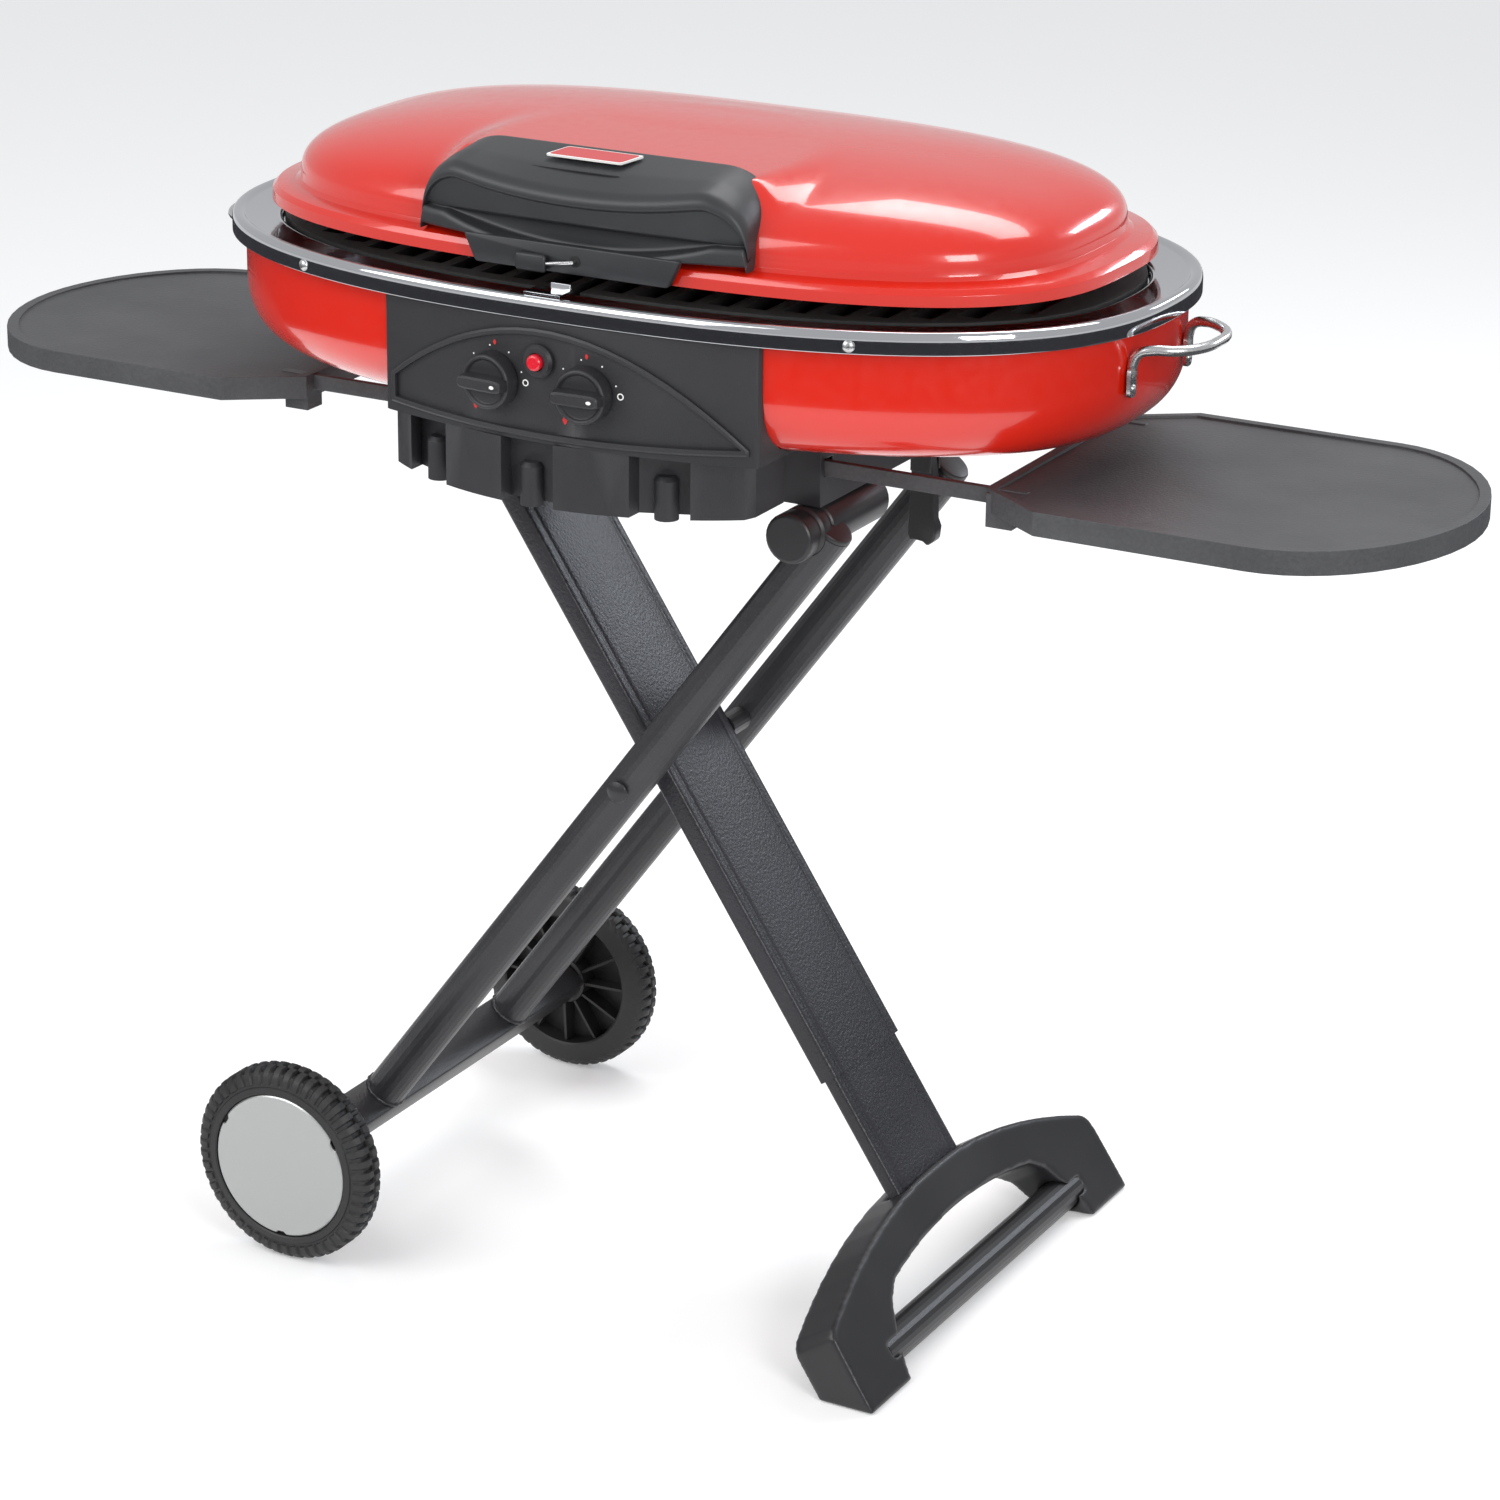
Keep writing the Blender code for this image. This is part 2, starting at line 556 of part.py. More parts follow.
# ---- knobs, valves, manifold -------------------------------------------------------------------
for x, label in zip(KNOB_X, ("left", "right")):
    out = face_normal(x)
    seat = Vector((x, face_y(x), KNOB_HEIGHT))
    knob = turned(f"knob_{label}", ((0, -0.0050), (0.0045, -0.0050), (0.0045, 0.0008),
                                    (0.0195, 0.0008), (0.0190, 0.0100), (0.0165, 0.0130),
                                    (0, 0.0130)), seat, out, BLACK_PLASTIC, 28)
    across = Vector((-out.y, out.x, 0.0))
    place = frame_at(seat, across, (0, 0, 1))
    grip = block(f"knob_grip_{label}", (-0.0200, -0.0048, 0.0100), (0.0200, 0.0048, 0.0205),
                 BLACK_PLASTIC, place)
    combine(knob, grip, "UNION")

for x, label in zip(KNOB_X, ("left", "right")):
    y = face_y(x) + 0.0058
    turned(f"valve_{label}", ((0, 0.0), (0.0040, 0.0), (0.0040, -0.0020), (0.0062, -0.0020),
                              (0.0062, -0.0047), (0, -0.0047)),
           (x, y, KNOB_HEIGHT), (0, -1, 0), BRASS, 14)
MANIFOLD_HEIGHT = 0.6560
manifold_y = -0.1620
wire("gas_manifold", [(PANEL_CENTRE_X - 0.090, manifold_y, MANIFOLD_HEIGHT),
                      (PANEL_CENTRE_X + 0.090, manifold_y, MANIFOLD_HEIGHT)],
     0.0050, BRASS, resolution=2, smooth=False)
turned("gas_inlet_fitting", ((0, 0.0), (0.0090, 0.0), (0.0090, 0.0080), (0.0065, 0.0090),
                             (0.0065, 0.0160), (0, 0.0160)),
       (PANEL_CENTRE_X + 0.0905, manifold_y, MANIFOLD_HEIGHT), (1, 0, 0), BRASS, 12)
wire("spark_electrode", [(0.0, -0.1780, 0.7200), (0.0, -0.1200, 0.7200),
                         (0.0, -0.0900, 0.7150), (0.0300, -0.0800, 0.7150)],
     0.0020, CERAMIC, resolution=2, smooth=False)

# ---- lid ----------------------------------------------------------------------------------------
LID_PROFILE = (                    # share of the way from lip to dome outline, height
    (0.00, LID_BOTTOM), (0.02, LID_BOTTOM + 0.0075), (0.18, LID_BOTTOM + 0.0110),
    (0.80, LID_BOTTOM + 0.0135), (0.95, DOME_BASE), (1.00, DOME_BASE + 0.0040))


def crown_pad(x, y, z):
    """Height of the lid with the raised pad that runs back from the handle."""
    near = math.hypot(x / 0.132, (y + 0.100) / 0.160)
    share = min(max((1.06 - near) / 0.20, 0.0), 1.0)
    front = min(max((y + 0.1560) / 0.0240, 0.0), 1.0)
    share = share * share * (3 - 2 * share) * front * front * (3 - 2 * front)
    return z + share * max(LID_TOP - 0.0004 - 0.06 * abs(y) ** 1.5 - z, 0.0)


def lid_ring(half_x, half_y, power, z, wall):
    ring = oval(half_x - wall, half_y - wall, power, 56)
    return [Vector((x, y, crown_pad(x, y, z) - wall)) for x, y in ring]


def lid_rings(wall):
    """Rings from the lower lip to the crown, drawn in by the wall thickness."""
    rings = []
    for share, z in LID_PROFILE:
        half_x = LID_HALF_LENGTH + (DOME_HALF_LENGTH - LID_HALF_LENGTH) * share
        half_y = LID_HALF_DEPTH + (DOME_HALF_DEPTH - LID_HALF_DEPTH) * share
        rings.append(lid_ring(half_x, half_y, LID_POWER, z if share else z + wall, wall))
    rise = LID_TOP - DOME_BASE - 0.0040
    for reach in (0.985, 0.955, 0.91, 0.84, 0.75, 0.64, 0.50, 0.35, 0.12):
        z = DOME_BASE + 0.0040 + rise * (1 - reach ** 3.0) ** (1 / 2.6)
        rings.append(lid_ring(DOME_HALF_LENGTH * reach, DOME_HALF_DEPTH * reach ** 1.5,
                              LID_POWER - 0.45 * (1 - reach), z, wall))
    return rings


lid_shell = loft("lid_shell", lid_rings(LID_WALL)[::-1] + lid_rings(0.0), RED_ENAMEL)

# ---- lid handle: moulded grip on the front slope of the lid -----------------------------------
HANDLE_TOP = 0.8490
HANDLE_FRONT = -0.1845
TAB_FRONT = -0.1868
TAB_LOW = 0.7752
HANDLE_LOW = 0.7925
GRIP_EDGE = 0.8065                 # lower edge of the grip wall above the finger opening


def handle_ring(x):
    """Side-view outline of the handle at one station across the lid."""
    reach = abs(x) / 0.1270
    drop = 1 - (1 - min(max(reach - 0.68, 0.0) / 0.32, 1.0) ** 2.6) ** (1 / 2.6)
    back = 0.0130 * reach ** 4
    top = HANDLE_TOP - 0.0500 * drop
    ridge = min(0.8290 + 0.0095 * (reach / 0.77) ** 2, 0.8385) - 0.0400 * drop
    front = HANDLE_FRONT + back
    lip = max(ridge - 0.0085, HANDLE_LOW + 0.0050)
    edge = min(GRIP_EDGE, lip - 0.0010)
    smile = min(0.7895 + 1.43 * x * x, edge - 0.0015)
    low = min(HANDLE_LOW, smile - 0.0060)
    deep = 0.0125 * max(1 - (reach / 0.86) ** 4, 0.0)
    return [Vector((x, y, z)) for y, z in (
        (-0.1230, top - 0.0030), (-0.1260, top), (-0.1600, (top * 1.2 + ridge) / 2.2),
        (front + 0.0030, ridge + 0.0010), (front, ridge - 0.0020), (front, lip),
        (front + 0.0035, lip - 0.0004), (front + 0.0035, edge),
        (front + 0.0045 + deep, edge - 0.0001), (front + 0.0045 + deep, smile + 0.0001),
        (front - 0.0008, smile), (TAB_FRONT + back, smile - 0.0025),
        (TAB_FRONT + back, low), (-0.1230, low))]


stations = [0.1270 * math.sin(math.pi / 2 * i / 9) for i in range(-9, 10)]
lid_handle = loft("lid_handle", [handle_ring(x) for x in stations], BLACK_PLASTIC)
tab_outline = [(-0.0750, TAB_LOW), (0.0750, TAB_LOW), (0.0840, 0.7960), (-0.0840, 0.7960)]
handle_tab = prism("handle_tab", [tab_outline], -TAB_FRONT - 0.0060, -TAB_FRONT, BLACK_PLASTIC,
                   frame_at((0, 0, 0), (1, 0, 0), (0, 0, 1)))
combine(lid_handle, handle_tab, "UNION")
LATCH_PIVOT = Vector((0.0040, TAB_FRONT, 0.7845))
combine(lid_handle, rod("latch_hole", LATCH_PIVOT + Vector((0, 0.0040, 0)),
                        LATCH_PIVOT + Vector((0, -0.0100, 0)), 0.0026, BLACK_PLASTIC, 16),
        "DIFFERENCE")
lid_clearance = loft("lid_clearance",
                     [[Vector((p.x, p.y, p.z)) for p in ring] for ring in lid_rings(-0.0008)],
                     RED_ENAMEL)
combine(lid_handle, lid_clearance, "DIFFERENCE")

badge_slope = math.atan2(0.0062, 0.0340)
badge_place = (Matrix.Translation((-0.0060, -0.1420, 0.8464))
               @ Matrix.Rotation(badge_slope, 4, "X"))
badge_outline = [(-0.0345, -0.0070), (0.0250, -0.0070), (0.0345, 0.0070), (-0.0250, 0.0070)]
bevel(prism("handle_badge", [badge_outline], 0.0004, 0.0018, BADGE_RED, badge_place), 0.0005, 1)

# ---- lid latch: wire with a plastic grip, turning in a hole in the handle's tab -------------------
latch_line = LATCH_PIVOT + Vector((0, -0.0034, 0))
wire("latch_wire", [LATCH_PIVOT + Vector((0, 0.0030, 0)), latch_line,
                    latch_line + Vector((-0.0203, 0, -0.0030))],
     0.0012, BRIGHT_STEEL, resolution=2, smooth=False)
latch_grip = block("latch_grip", (-0.0400, latch_line.y - 0.0024, 0.7750),
                   (-0.0168, latch_line.y + 0.0024, 0.7872), BLACK_PLASTIC)
bevel(latch_grip, 0.0014, 2)
lid_catch = block("lid_catch", (-0.0200, -0.2140, RIM_TOP + 0.0003),
                  (0.0080, -0.1960, RIM_TOP + 0.0020), CHROME)
catch_tooth = block("catch_tooth", (-0.0080, -0.1985, RIM_TOP + 0.0011),
                    (0.0070, -0.1965, RIM_TOP + 0.0060), CHROME)
combine(lid_catch, catch_tooth, "UNION")

# ---- lid hinges at the back ------------------------------------------------------------------------
HINGE_Y = 0.2130
HINGE_Z = 0.7760
for side, label in ((-1, "left"), (1, "right")):
    x = side * 0.130
    bracket = block(f"hinge_bracket_{label}", (x - 0.018, 0.1880, RIM_TOP + 0.0003),
                    (x + 0.018, 0.2150, RIM_TOP + 0.0025), CHROME)
    for ear, offset in (("a", -0.018), ("b", 0.015)):
        lug = block(f"hinge_ear_{label}_{ear}", (x + offset, HINGE_Y - 0.0065, RIM_TOP + 0.001),
                    (x + offset + 0.003, HINGE_Y + 0.0065, HINGE_Z + 0.0065), CHROME)
        combine(bracket, lug, "UNION")
    combine(bracket, rod(f"hinge_stub_{label}", (x - 0.0165, HINGE_Y, HINGE_Z),
                         (x + 0.0165, HINGE_Y, HINGE_Z), 0.0025, CHROME, 16), "UNION")
    leaf = rod(f"hinge_leaf_{label}", (x - 0.0145, HINGE_Y, HINGE_Z),
               (x + 0.0145, HINGE_Y, HINGE_Z), 0.0052, BRIGHT_STEEL, 20)
    arm = block(f"hinge_arm_{label}", (x - 0.0120, 0.1600, HINGE_Z + 0.0006),
                (x + 0.0120, HINGE_Y - 0.002, HINGE_Z + 0.0032), BRIGHT_STEEL)
    combine(leaf, arm, "UNION")
    pad = block(f"hinge_pad_{label}", (x - 0.0120, 0.1600, HINGE_Z + 0.0006),
                (x + 0.0120, 0.1900, HINGE_Z + 0.0200), BRIGHT_STEEL)
    combine(leaf, pad, "UNION")
    combine(leaf, loft(f"lid_room_{label}", lid_rings(-0.0005), RED_ENAMEL), "DIFFERENCE")
    combine(leaf, rod(f"hinge_bore_{label}", (x - 0.020, HINGE_Y, HINGE_Z),
                      (x + 0.020, HINGE_Y, HINGE_Z), 0.0029, BRIGHT_STEEL, 16), "DIFFERENCE")

# ---- carry handles on the ends of the firebox -----------------------------------------------------
HANDLE_Y = 0.046
plate_x = FIREBOX_HALF_LENGTH * (1 - (HANDLE_Y / FIREBOX_HALF_DEPTH) ** FIREBOX_POWER) \
    ** (1 / FIREBOX_POWER)
for side, label in ((-1, "left"), (1, "right")):
    stand = plate_x + 0.0045
    half = [(stand + 0.0005, HANDLE_Y, 0.7230), (stand + 0.0010, HANDLE_Y, 0.7290),
            (stand + 0.0045, HANDLE_Y - 0.0005, 0.7345), (stand + 0.0120, HANDLE_Y - 0.002, 0.7380),
            (stand + 0.0260, HANDLE_Y - 0.0080, 0.7390), (stand + 0.0370, HANDLE_Y - 0.0230, 0.7390),
            (stand + 0.0405, 0.0, 0.7390)]
    path = half + [(x, -y, z) for x, y, z in half[-2::-1]]
    handle = wire(f"carry_handle_{label}", [(side * x, y, z) for x, y, z in path], 0.0037,
                  CHROME, resolution=2, smooth=True, steps=3)
    for end in (-1, 1):
        centre = Vector((side * (stand + 0.0005), end * HANDLE_Y, 0.7165))
        low = centre - Vector((0.0016, 0.0055, 0.0110))
        high = centre + Vector((0.0016, 0.0055, 0.0110))
        combine(handle, block(f"handle_plate_{label}_{end}", low, high, CHROME), "UNION")

# ---- base box and its brackets ----------------------------------------------------------------------
base_box = block("base_box", (-BOX_HALF_LENGTH, -BOX_HALF_DEPTH, BOX_BOTTOM),
                 (BOX_HALF_LENGTH, BOX_HALF_DEPTH, BOX_TOP), BLACK_STEEL)
combine(base_box, block("box_room", (-BOX_HALF_LENGTH + 0.002, -BOX_HALF_DEPTH + 0.002,
                                     BOX_BOTTOM + 0.002),
                        (BOX_HALF_LENGTH - 0.002, BOX_HALF_DEPTH - 0.002, BOX_TOP + 0.010),
                        BLACK_STEEL), "DIFFERENCE")
RUNNER_Y = 0.0930
RUNNER_LOW, RUNNER_HIGH = 0.6345, 0.6455
for side_y in (-1, 1):
    combine(base_box, block(f"runner_slot_{side_y}", (-0.20, side_y * RUNNER_Y - 0.0064,
                                                      RUNNER_LOW - 0.0006),
                            (0.20, side_y * RUNNER_Y + 0.0064, RUNNER_HIGH + 0.0006),
                            BLACK_STEEL), "DIFFERENCE")
LEVER_PIVOT = Vector((0.1450, 0.0630, 0.6040))
for offset in (-0.0085, 0.0060):
    ear = block(f"lever_ear_{offset}", (LEVER_PIVOT.x - 0.0080, LEVER_PIVOT.y + offset, 0.5975),
                (LEVER_PIVOT.x + 0.0080, LEVER_PIVOT.y + offset + 0.0025, BOX_BOTTOM + 0.001),
                BLACK_STEEL)
    combine(base_box, ear, "UNION")

leg_bracket = block("leg_bracket", (-0.1720, -0.0600, BOX_BOTTOM - 0.0028),
                    (-0.1000, 0.0600, BOX_BOTTOM - 0.0003), BLACK_STEEL)
for side_y in (-1, 1):
    inner, outer = side_y * 0.0520, side_y * 0.0550
    cheek = block(f"cheek_{side_y}", (-0.1720, min(inner, outer), 0.5790),
                  (-0.1300, max(inner, outer), BOX_BOTTOM - 0.0010), BLACK_STEEL)
    combine(leg_bracket, cheek, "UNION")
combine(leg_bracket, block("bracket_notch", (-0.1800, -0.0519, 0.5700),
                           (-0.1280, 0.0519, BOX_BOTTOM + 0.001), BLACK_STEEL), "DIFFERENCE")
combine(leg_bracket, rod("bracket_bore", LEG_TOP_PIVOT + Vector((0, -0.07, 0)),
                         LEG_TOP_PIVOT + Vector((0, 0.07, 0)), 0.0053, BLACK_STEEL, 20),
        "DIFFERENCE")
turned("leg_pivot_pin", ((0, -0.0590), (0.0085, -0.0590), (0.0085, -0.0555), (0.0049, -0.0554),
                         (0.0049, 0.0554), (0.0085, 0.0555), (0.0085, 0.0590), (0, 0.0590)),
       LEG_TOP_PIVOT, (0, 1, 0), BRIGHT_STEEL, 20)

# ---- side tables ------------------------------------------------------------------------------------
TABLE_POWER = 1.92


def table_outline(grow, inner):
    """Half-oval plan outline with a chamfered inner end."""
    points = []
    count = 24
    for i in range(count + 1):
        angle = math.pi * (i / count - 0.5)
        c, s = abs(math.cos(angle)), math.sin(angle)
        x = TABLE_STRAIGHT_END + (TABLE_END - TABLE_STRAIGHT_END) * c ** (2 / TABLE_POWER)
        y = TABLE_HALF_WIDTH * math.copysign(abs(s) ** (2 / TABLE_POWER), s)
        points.append((x + grow * c, y + grow * math.copysign(min(abs(s) * 1.4, 1.0), s)))
    side = TABLE_HALF_WIDTH + grow
    return points + [(0.3230, side), (inner - grow, 0.1020), (inner - grow, -0.1020),
                     (0.3230, -side)]


for side, label in ((-1, "left"), (1, "right")):
    flip = [(side * x, y) for x, y in table_outline(0.0, TABLE_INNER)]
    table = prism(f"side_table_{label}", [flip], TABLE_TOP - TABLE_THICKNESS, TABLE_TOP,
                  TABLE_PLASTIC)
    dish = [(side * x, y) for x, y in table_outline(-0.0075, TABLE_INNER)]
    combine(table, prism(f"table_dish_{label}", [dish], TABLE_TOP - 0.0020, TABLE_TOP + 0.010,
                         TABLE_PLASTIC), "DIFFERENCE")
    under = [(side * x, y) for x, y in table_outline(-0.0050, TABLE_INNER)]
    combine(table, prism(f"table_under_{label}", [under], TABLE_TOP - TABLE_THICKNESS - 0.010,
                         TABLE_TOP - 0.0060, TABLE_PLASTIC), "DIFFERENCE")
    for side_y in (-1, 1):
        shift = side * 0.0032
        y = side_y * (RUNNER_Y + shift)
        ends = sorted((side * 0.1150, side * 0.3000))
        combine(table, block(f"table_runner_{label}_{side_y}", (ends[0], y - 0.0026, RUNNER_LOW),
                             (ends[1], y + 0.0026, RUNNER_HIGH), TABLE_PLASTIC), "UNION")
        boss = sorted((side * 0.2735, side * 0.2930))
        combine(table, block(f"table_boss_{label}_{side_y}", (boss[0], y - 0.0095, 0.6200),
                             (boss[1], y + 0.0095, TABLE_TOP - 0.0030), TABLE_PLASTIC), "UNION")

# ---- main leg: flat tube from the base box to the foot, with a telescoping lower end ----------------
leg_frame = frame_at(LEG_TOP_PIVOT, LEG_DOWN, (0, 1, 0))


def flat_tube(name, start, end, half_width, thickness, wall, material):
    """A hollow flat tube along the leg, in the leg's frame."""
    tube = block(name, (start, -half_width, -thickness / 2), (end, half_width, thickness / 2),
                 material, leg_frame)
    hollow = block(name + "_hollow", (start - 0.01, -half_width + wall, -thickness / 2 + wall),
                   (end + 0.01, half_width - wall, thickness / 2 - wall), material, leg_frame)
    return tube, hollow


main_leg, main_hollow = flat_tube("main_leg_tube", -0.0120, LEG_TUBE_LENGTH, LEG_HALF_WIDTH,
                                  LEG_THICKNESS, 0.0019, BLACK_STEEL)
bevel(main_leg, 0.0025, 2)
combine(main_leg, main_hollow, "DIFFERENCE")
for index, pivot in enumerate((LEG_TOP_PIVOT, SCISSOR_BOLT), start=1):
    combine(main_leg, rod(f"leg_bore_{index}", pivot + Vector((0, -0.07, 0)),
                          pivot + Vector((0, 0.07, 0)), 0.0054, BLACK_STEEL, 20), "DIFFERENCE")
INNER_HALF_WIDTH = LEG_HALF_WIDTH - 0.0019 - GAP
INNER_THICKNESS = LEG_THICKNESS - 0.0038 - 2 * GAP
lower_leg, lower_hollow = flat_tube("lower_leg_tube", LOWER_TUBE_START, FOOT_CROWN + 0.0180,
                                    INNER_HALF_WIDTH, INNER_THICKNESS, 0.0018, BLACK_STEEL)
combine(lower_leg, lower_hollow, "DIFFERENCE")

bolt_reach = WHEEL_TUBE_Y + WHEEL_TUBE_RADIUS
turned("scissor_bolt", ((0, -bolt_reach - 0.0045), (0.0040, -bolt_reach - 0.0045),
                        (0.0082, -bolt_reach - 0.0025), (0.0082, -bolt_reach - 0.0003),
                        (0.0049, -bolt_reach - 0.0003), (0.0049, bolt_reach + 0.0003),
                        (0.0082, bolt_reach + 0.0003), (0.0082, bolt_reach + 0.0025),
                        (0.0040, bolt_reach + 0.0045), (0, bolt_reach + 0.0045)),
       SCISSOR_BOLT, (0, 1, 0), BLACK_STEEL, 20)
for side_y, label in ((-1, "front"), (1, "back")):
    start = SCISSOR_BOLT + Vector((0, side_y * (LEG_HALF_WIDTH + GAP), 0))
    end = SCISSOR_BOLT + Vector((0, side_y * (WHEEL_TUBE_Y - WHEEL_TUBE_RADIUS - 0.0004), 0))
    spacer = rod(f"scissor_spacer_{label}", start, end, 0.0090, BLACK_PLASTIC, 20)
    combine(spacer, rod(f"spacer_bore_{label}", start - (end - start), end + (end - start),
                        0.0054, BLACK_PLASTIC, 20), "DIFFERENCE")

# ---- foot: D-shaped stand and pull handle on the lower end of the leg ------------------------------
FOOT_HALF_WIDTH = 0.2130
FOOT_FRONT = 0.0139                # faces either side of the leg's middle plane
FOOT_BACK = -0.0236
foot_frame = frame_at(LEG_TOP_PIVOT, LEG_DOWN, (0, 1, 0))


def foot_outline():
    """Arch outline along the leg (x) and across it (y), open at the ground."""
    crown = FOOT_CROWN
    ground = FOOT_CROWN + 0.1250
    outer, inner = [], []
    count = 16
    for i in range(count + 1):
        y = -0.2060 + 0.4120 * i / count
        outer.append((crown + y * y / (2 * 0.487), y))
    for i in range(count + 1):
        y = -0.1120 + 0.2240 * i / count
        inner.append((crown + 0.0345 + y * y / (2 * 0.500), y))
    corner = crown + 0.2060 ** 2 / (2 * 0.487)
    right = [(corner + 0.0060, FOOT_HALF_WIDTH - 0.0010), (corner + 0.0130, FOOT_HALF_WIDTH),
             (ground, FOOT_HALF_WIDTH + 0.0020), (ground, 0.1560), (crown + 0.1000, 0.1500),
             (crown + 0.0780, 0.1400), (crown + 0.0580, 0.1275)]
    left = [(x, -y) for x, y in right[::-1]]
    return outer + right + inner[::-1] + left


foot = prism("foot", [foot_outline()], FOOT_BACK, FOOT_FRONT, BLACK_PLASTIC,
             frame_at(LEG_TOP_PIVOT, LEG_DOWN, (0, 1, 0)))
bevel(foot, 0.0030, 2, 50.0)
combine(foot, block("ground_cut", (-0.2, -0.4, -0.2), (0.6, 0.4, 0.0), BLACK_PLASTIC),
        "DIFFERENCE")
combine(foot, block("foot_socket", (FOOT_CROWN - 0.02, -INNER_HALF_WIDTH - GAP,
                                    -INNER_THICKNESS / 2 - GAP),
                    (FOOT_CROWN + 0.0185, INNER_HALF_WIDTH + GAP, INNER_THICKNESS / 2 + GAP),
                    BLACK_PLASTIC, foot_frame), "DIFFERENCE")
grip_centre = foot_frame @ Vector((FOOT_CROWN + 0.0835, 0.0, 0.0))
grip_centre.z = max(grip_centre.z, 0.0145)
combine(foot, rod("grip_socket", grip_centre + Vector((0, -0.1600, 0)),
                  grip_centre + Vector((0, 0.1600, 0)), 0.0138, BLACK_PLASTIC, 24), "DIFFERENCE")
rod("foot_grip", grip_centre + Vector((0, -0.1596, 0)), grip_centre + Vector((0, 0.1596, 0)),
    0.0135, BLACK_PLASTIC, 24)

# ---- wheel frame: two tubes, axle beam, top roller ---------------------------------------------------
BEAM_START = AXLE_ARM - 0.0180
for side_y, label in ((-1, "front"), (1, "back")):
    y = Vector((0, side_y * WHEEL_TUBE_Y, 0))
    top = SCISSOR_BOLT - TUBE_DOWN * (SCISSOR_ARM + 0.0080) + y
    bottom = SCISSOR_BOLT + TUBE_DOWN * (BEAM_START - GAP) + y
    tube = rod(f"wheel_tube_{label}", top, bottom, WHEEL_TUBE_RADIUS, BLACK_STEEL, 24)
    combine(tube, rod(f"tube_hollow_{label}", top - TUBE_DOWN * 0.01,
                      bottom + TUBE_DOWN * 0.01, WHEEL_TUBE_RADIUS - 0.0018, BLACK_STEEL, 24),
            "DIFFERENCE")
    combine(tube, rod(f"tube_bore_{label}", SCISSOR_BOLT + y + Vector((0, -0.03, 0)),
                      SCISSOR_BOLT + y + Vector((0, 0.03, 0)), 0.0054, BLACK_STEEL, 20),
            "DIFFERENCE")
    if side_y < 0:
        combine(tube, rod("tube_roller_room", ROLLER + Vector((0, -0.130, 0)),
                          ROLLER + Vector((0, 0.0, 0)), ROLLER_RADIUS + GAP, BLACK_STEEL, 28),
                "DIFFERENCE")
turned("top_roller", ((0, -0.1265), (0.0160, -0.1265), (0.0180, -0.1245), (0.0180, -0.1120),
                      (0.0155, -0.1105), (0.0155, -0.1065), (0.0180, -0.1050),
                      (0.0180, -0.0960), (0.0155, -0.0945), (0.0155, -0.0910),
                      (0.0175, -0.0895), (0.0175, -0.0090), (0.0165, -0.0075), (0, -0.0075)),
       ROLLER, (0, 1, 0), BLACK_PLASTIC, 28)

beam_frame = frame_at(SCISSOR_BOLT, TUBE_DOWN, (0, 1, 0))
BEAM_HALF = 0.1870
axle_beam = block("axle_beam", (BEAM_START, -BEAM_HALF, -0.0155),
                  (BEAM_START + 0.0260, BEAM_HALF, 0.0155), BLACK_STEEL, beam_frame)
bevel(axle_beam, 0.0020, 2)
combine(axle_beam, block("beam_hollow", (BEAM_START + 0.0022, -BEAM_HALF + 0.003, -0.0133),
                         (BEAM_START + 0.0400, BEAM_HALF - 0.003, 0.0133), BLACK_STEEL,
                         beam_frame), "DIFFERENCE")
combine(axle_beam, rod("beam_bore", AXLE + Vector((0, -0.22, 0)), AXLE + Vector((0, 0.22, 0)),
                       AXLE_RADIUS + GAP, BLACK_STEEL, 20), "DIFFERENCE")
rod("axle", AXLE + Vector((0, -0.2080, 0)), AXLE + Vector((0, 0.2080, 0)), AXLE_RADIUS,
    BRIGHT_STEEL, 20)

# ---- wheels: one lugged moulding each, with a plain disc cap on its outer face ----------------------
LUG_COUNT = 36


def circle(radius, count):
    """Points of a circle."""
    return [(radius * math.cos(2 * math.pi * i / count), radius * math.sin(2 * math.pi * i / count))
            for i in range(count)]


def tread_outline():
    """Gear-like outline of the tread in the wheel's own plane."""
    points = []
    for lug in range(LUG_COUNT):
        for share, radius in ((0.00, WHEEL_RADIUS), (0.55, WHEEL_RADIUS),
                              (0.64, WHEEL_RADIUS - 0.0030), (0.91, WHEEL_RADIUS - 0.0030)):
            angle = 2 * math.pi * (lug + share - 0.275) / LUG_COUNT - math.pi / 2
            points.append((radius * math.cos(angle), radius * math.sin(angle)))
    return points


for side_y, label in ((-1, "front"), (1, "back")):
    outer = side_y * WHEEL_OUTER_Y
    place = frame_at(AXLE + Vector((0, outer, 0)), (1, 0, 0), (0, 0, side_y))
    wheel = prism(f"wheel_{label}", [tread_outline()], 0.0, WHEEL_WIDTH, TYRE, place)
    inward = Vector((0, -side_y, 0))
    combine(wheel, prism(f"disc_seat_{label}", [circle(0.0560, 48)], -0.010, 0.0040, TYRE,
                         place), "DIFFERENCE")
    combine(wheel, prism(f"hub_recess_{label}", [circle(0.0540, 32), circle(0.0190, 32)],
                         0.0110, WHEEL_WIDTH + 0.010, TYRE, place), "DIFFERENCE")
    combine(wheel, rod(f"wheel_bore_{label}", AXLE + Vector((0, outer, 0)) - inward * 0.01,
                       AXLE + Vector((0, outer, 0)) + inward * 0.04, AXLE_RADIUS + GAP, TYRE,
                       20), "DIFFERENCE")
    turned(f"wheel_disc_{label}", ((0, 0.0), (0.0545, 0.0), (0.0556, 0.0010), (0.0556, 0.0036),
                                   (0, 0.0036)), AXLE + Vector((0, outer, 0)), inward, SILVER,
           48)

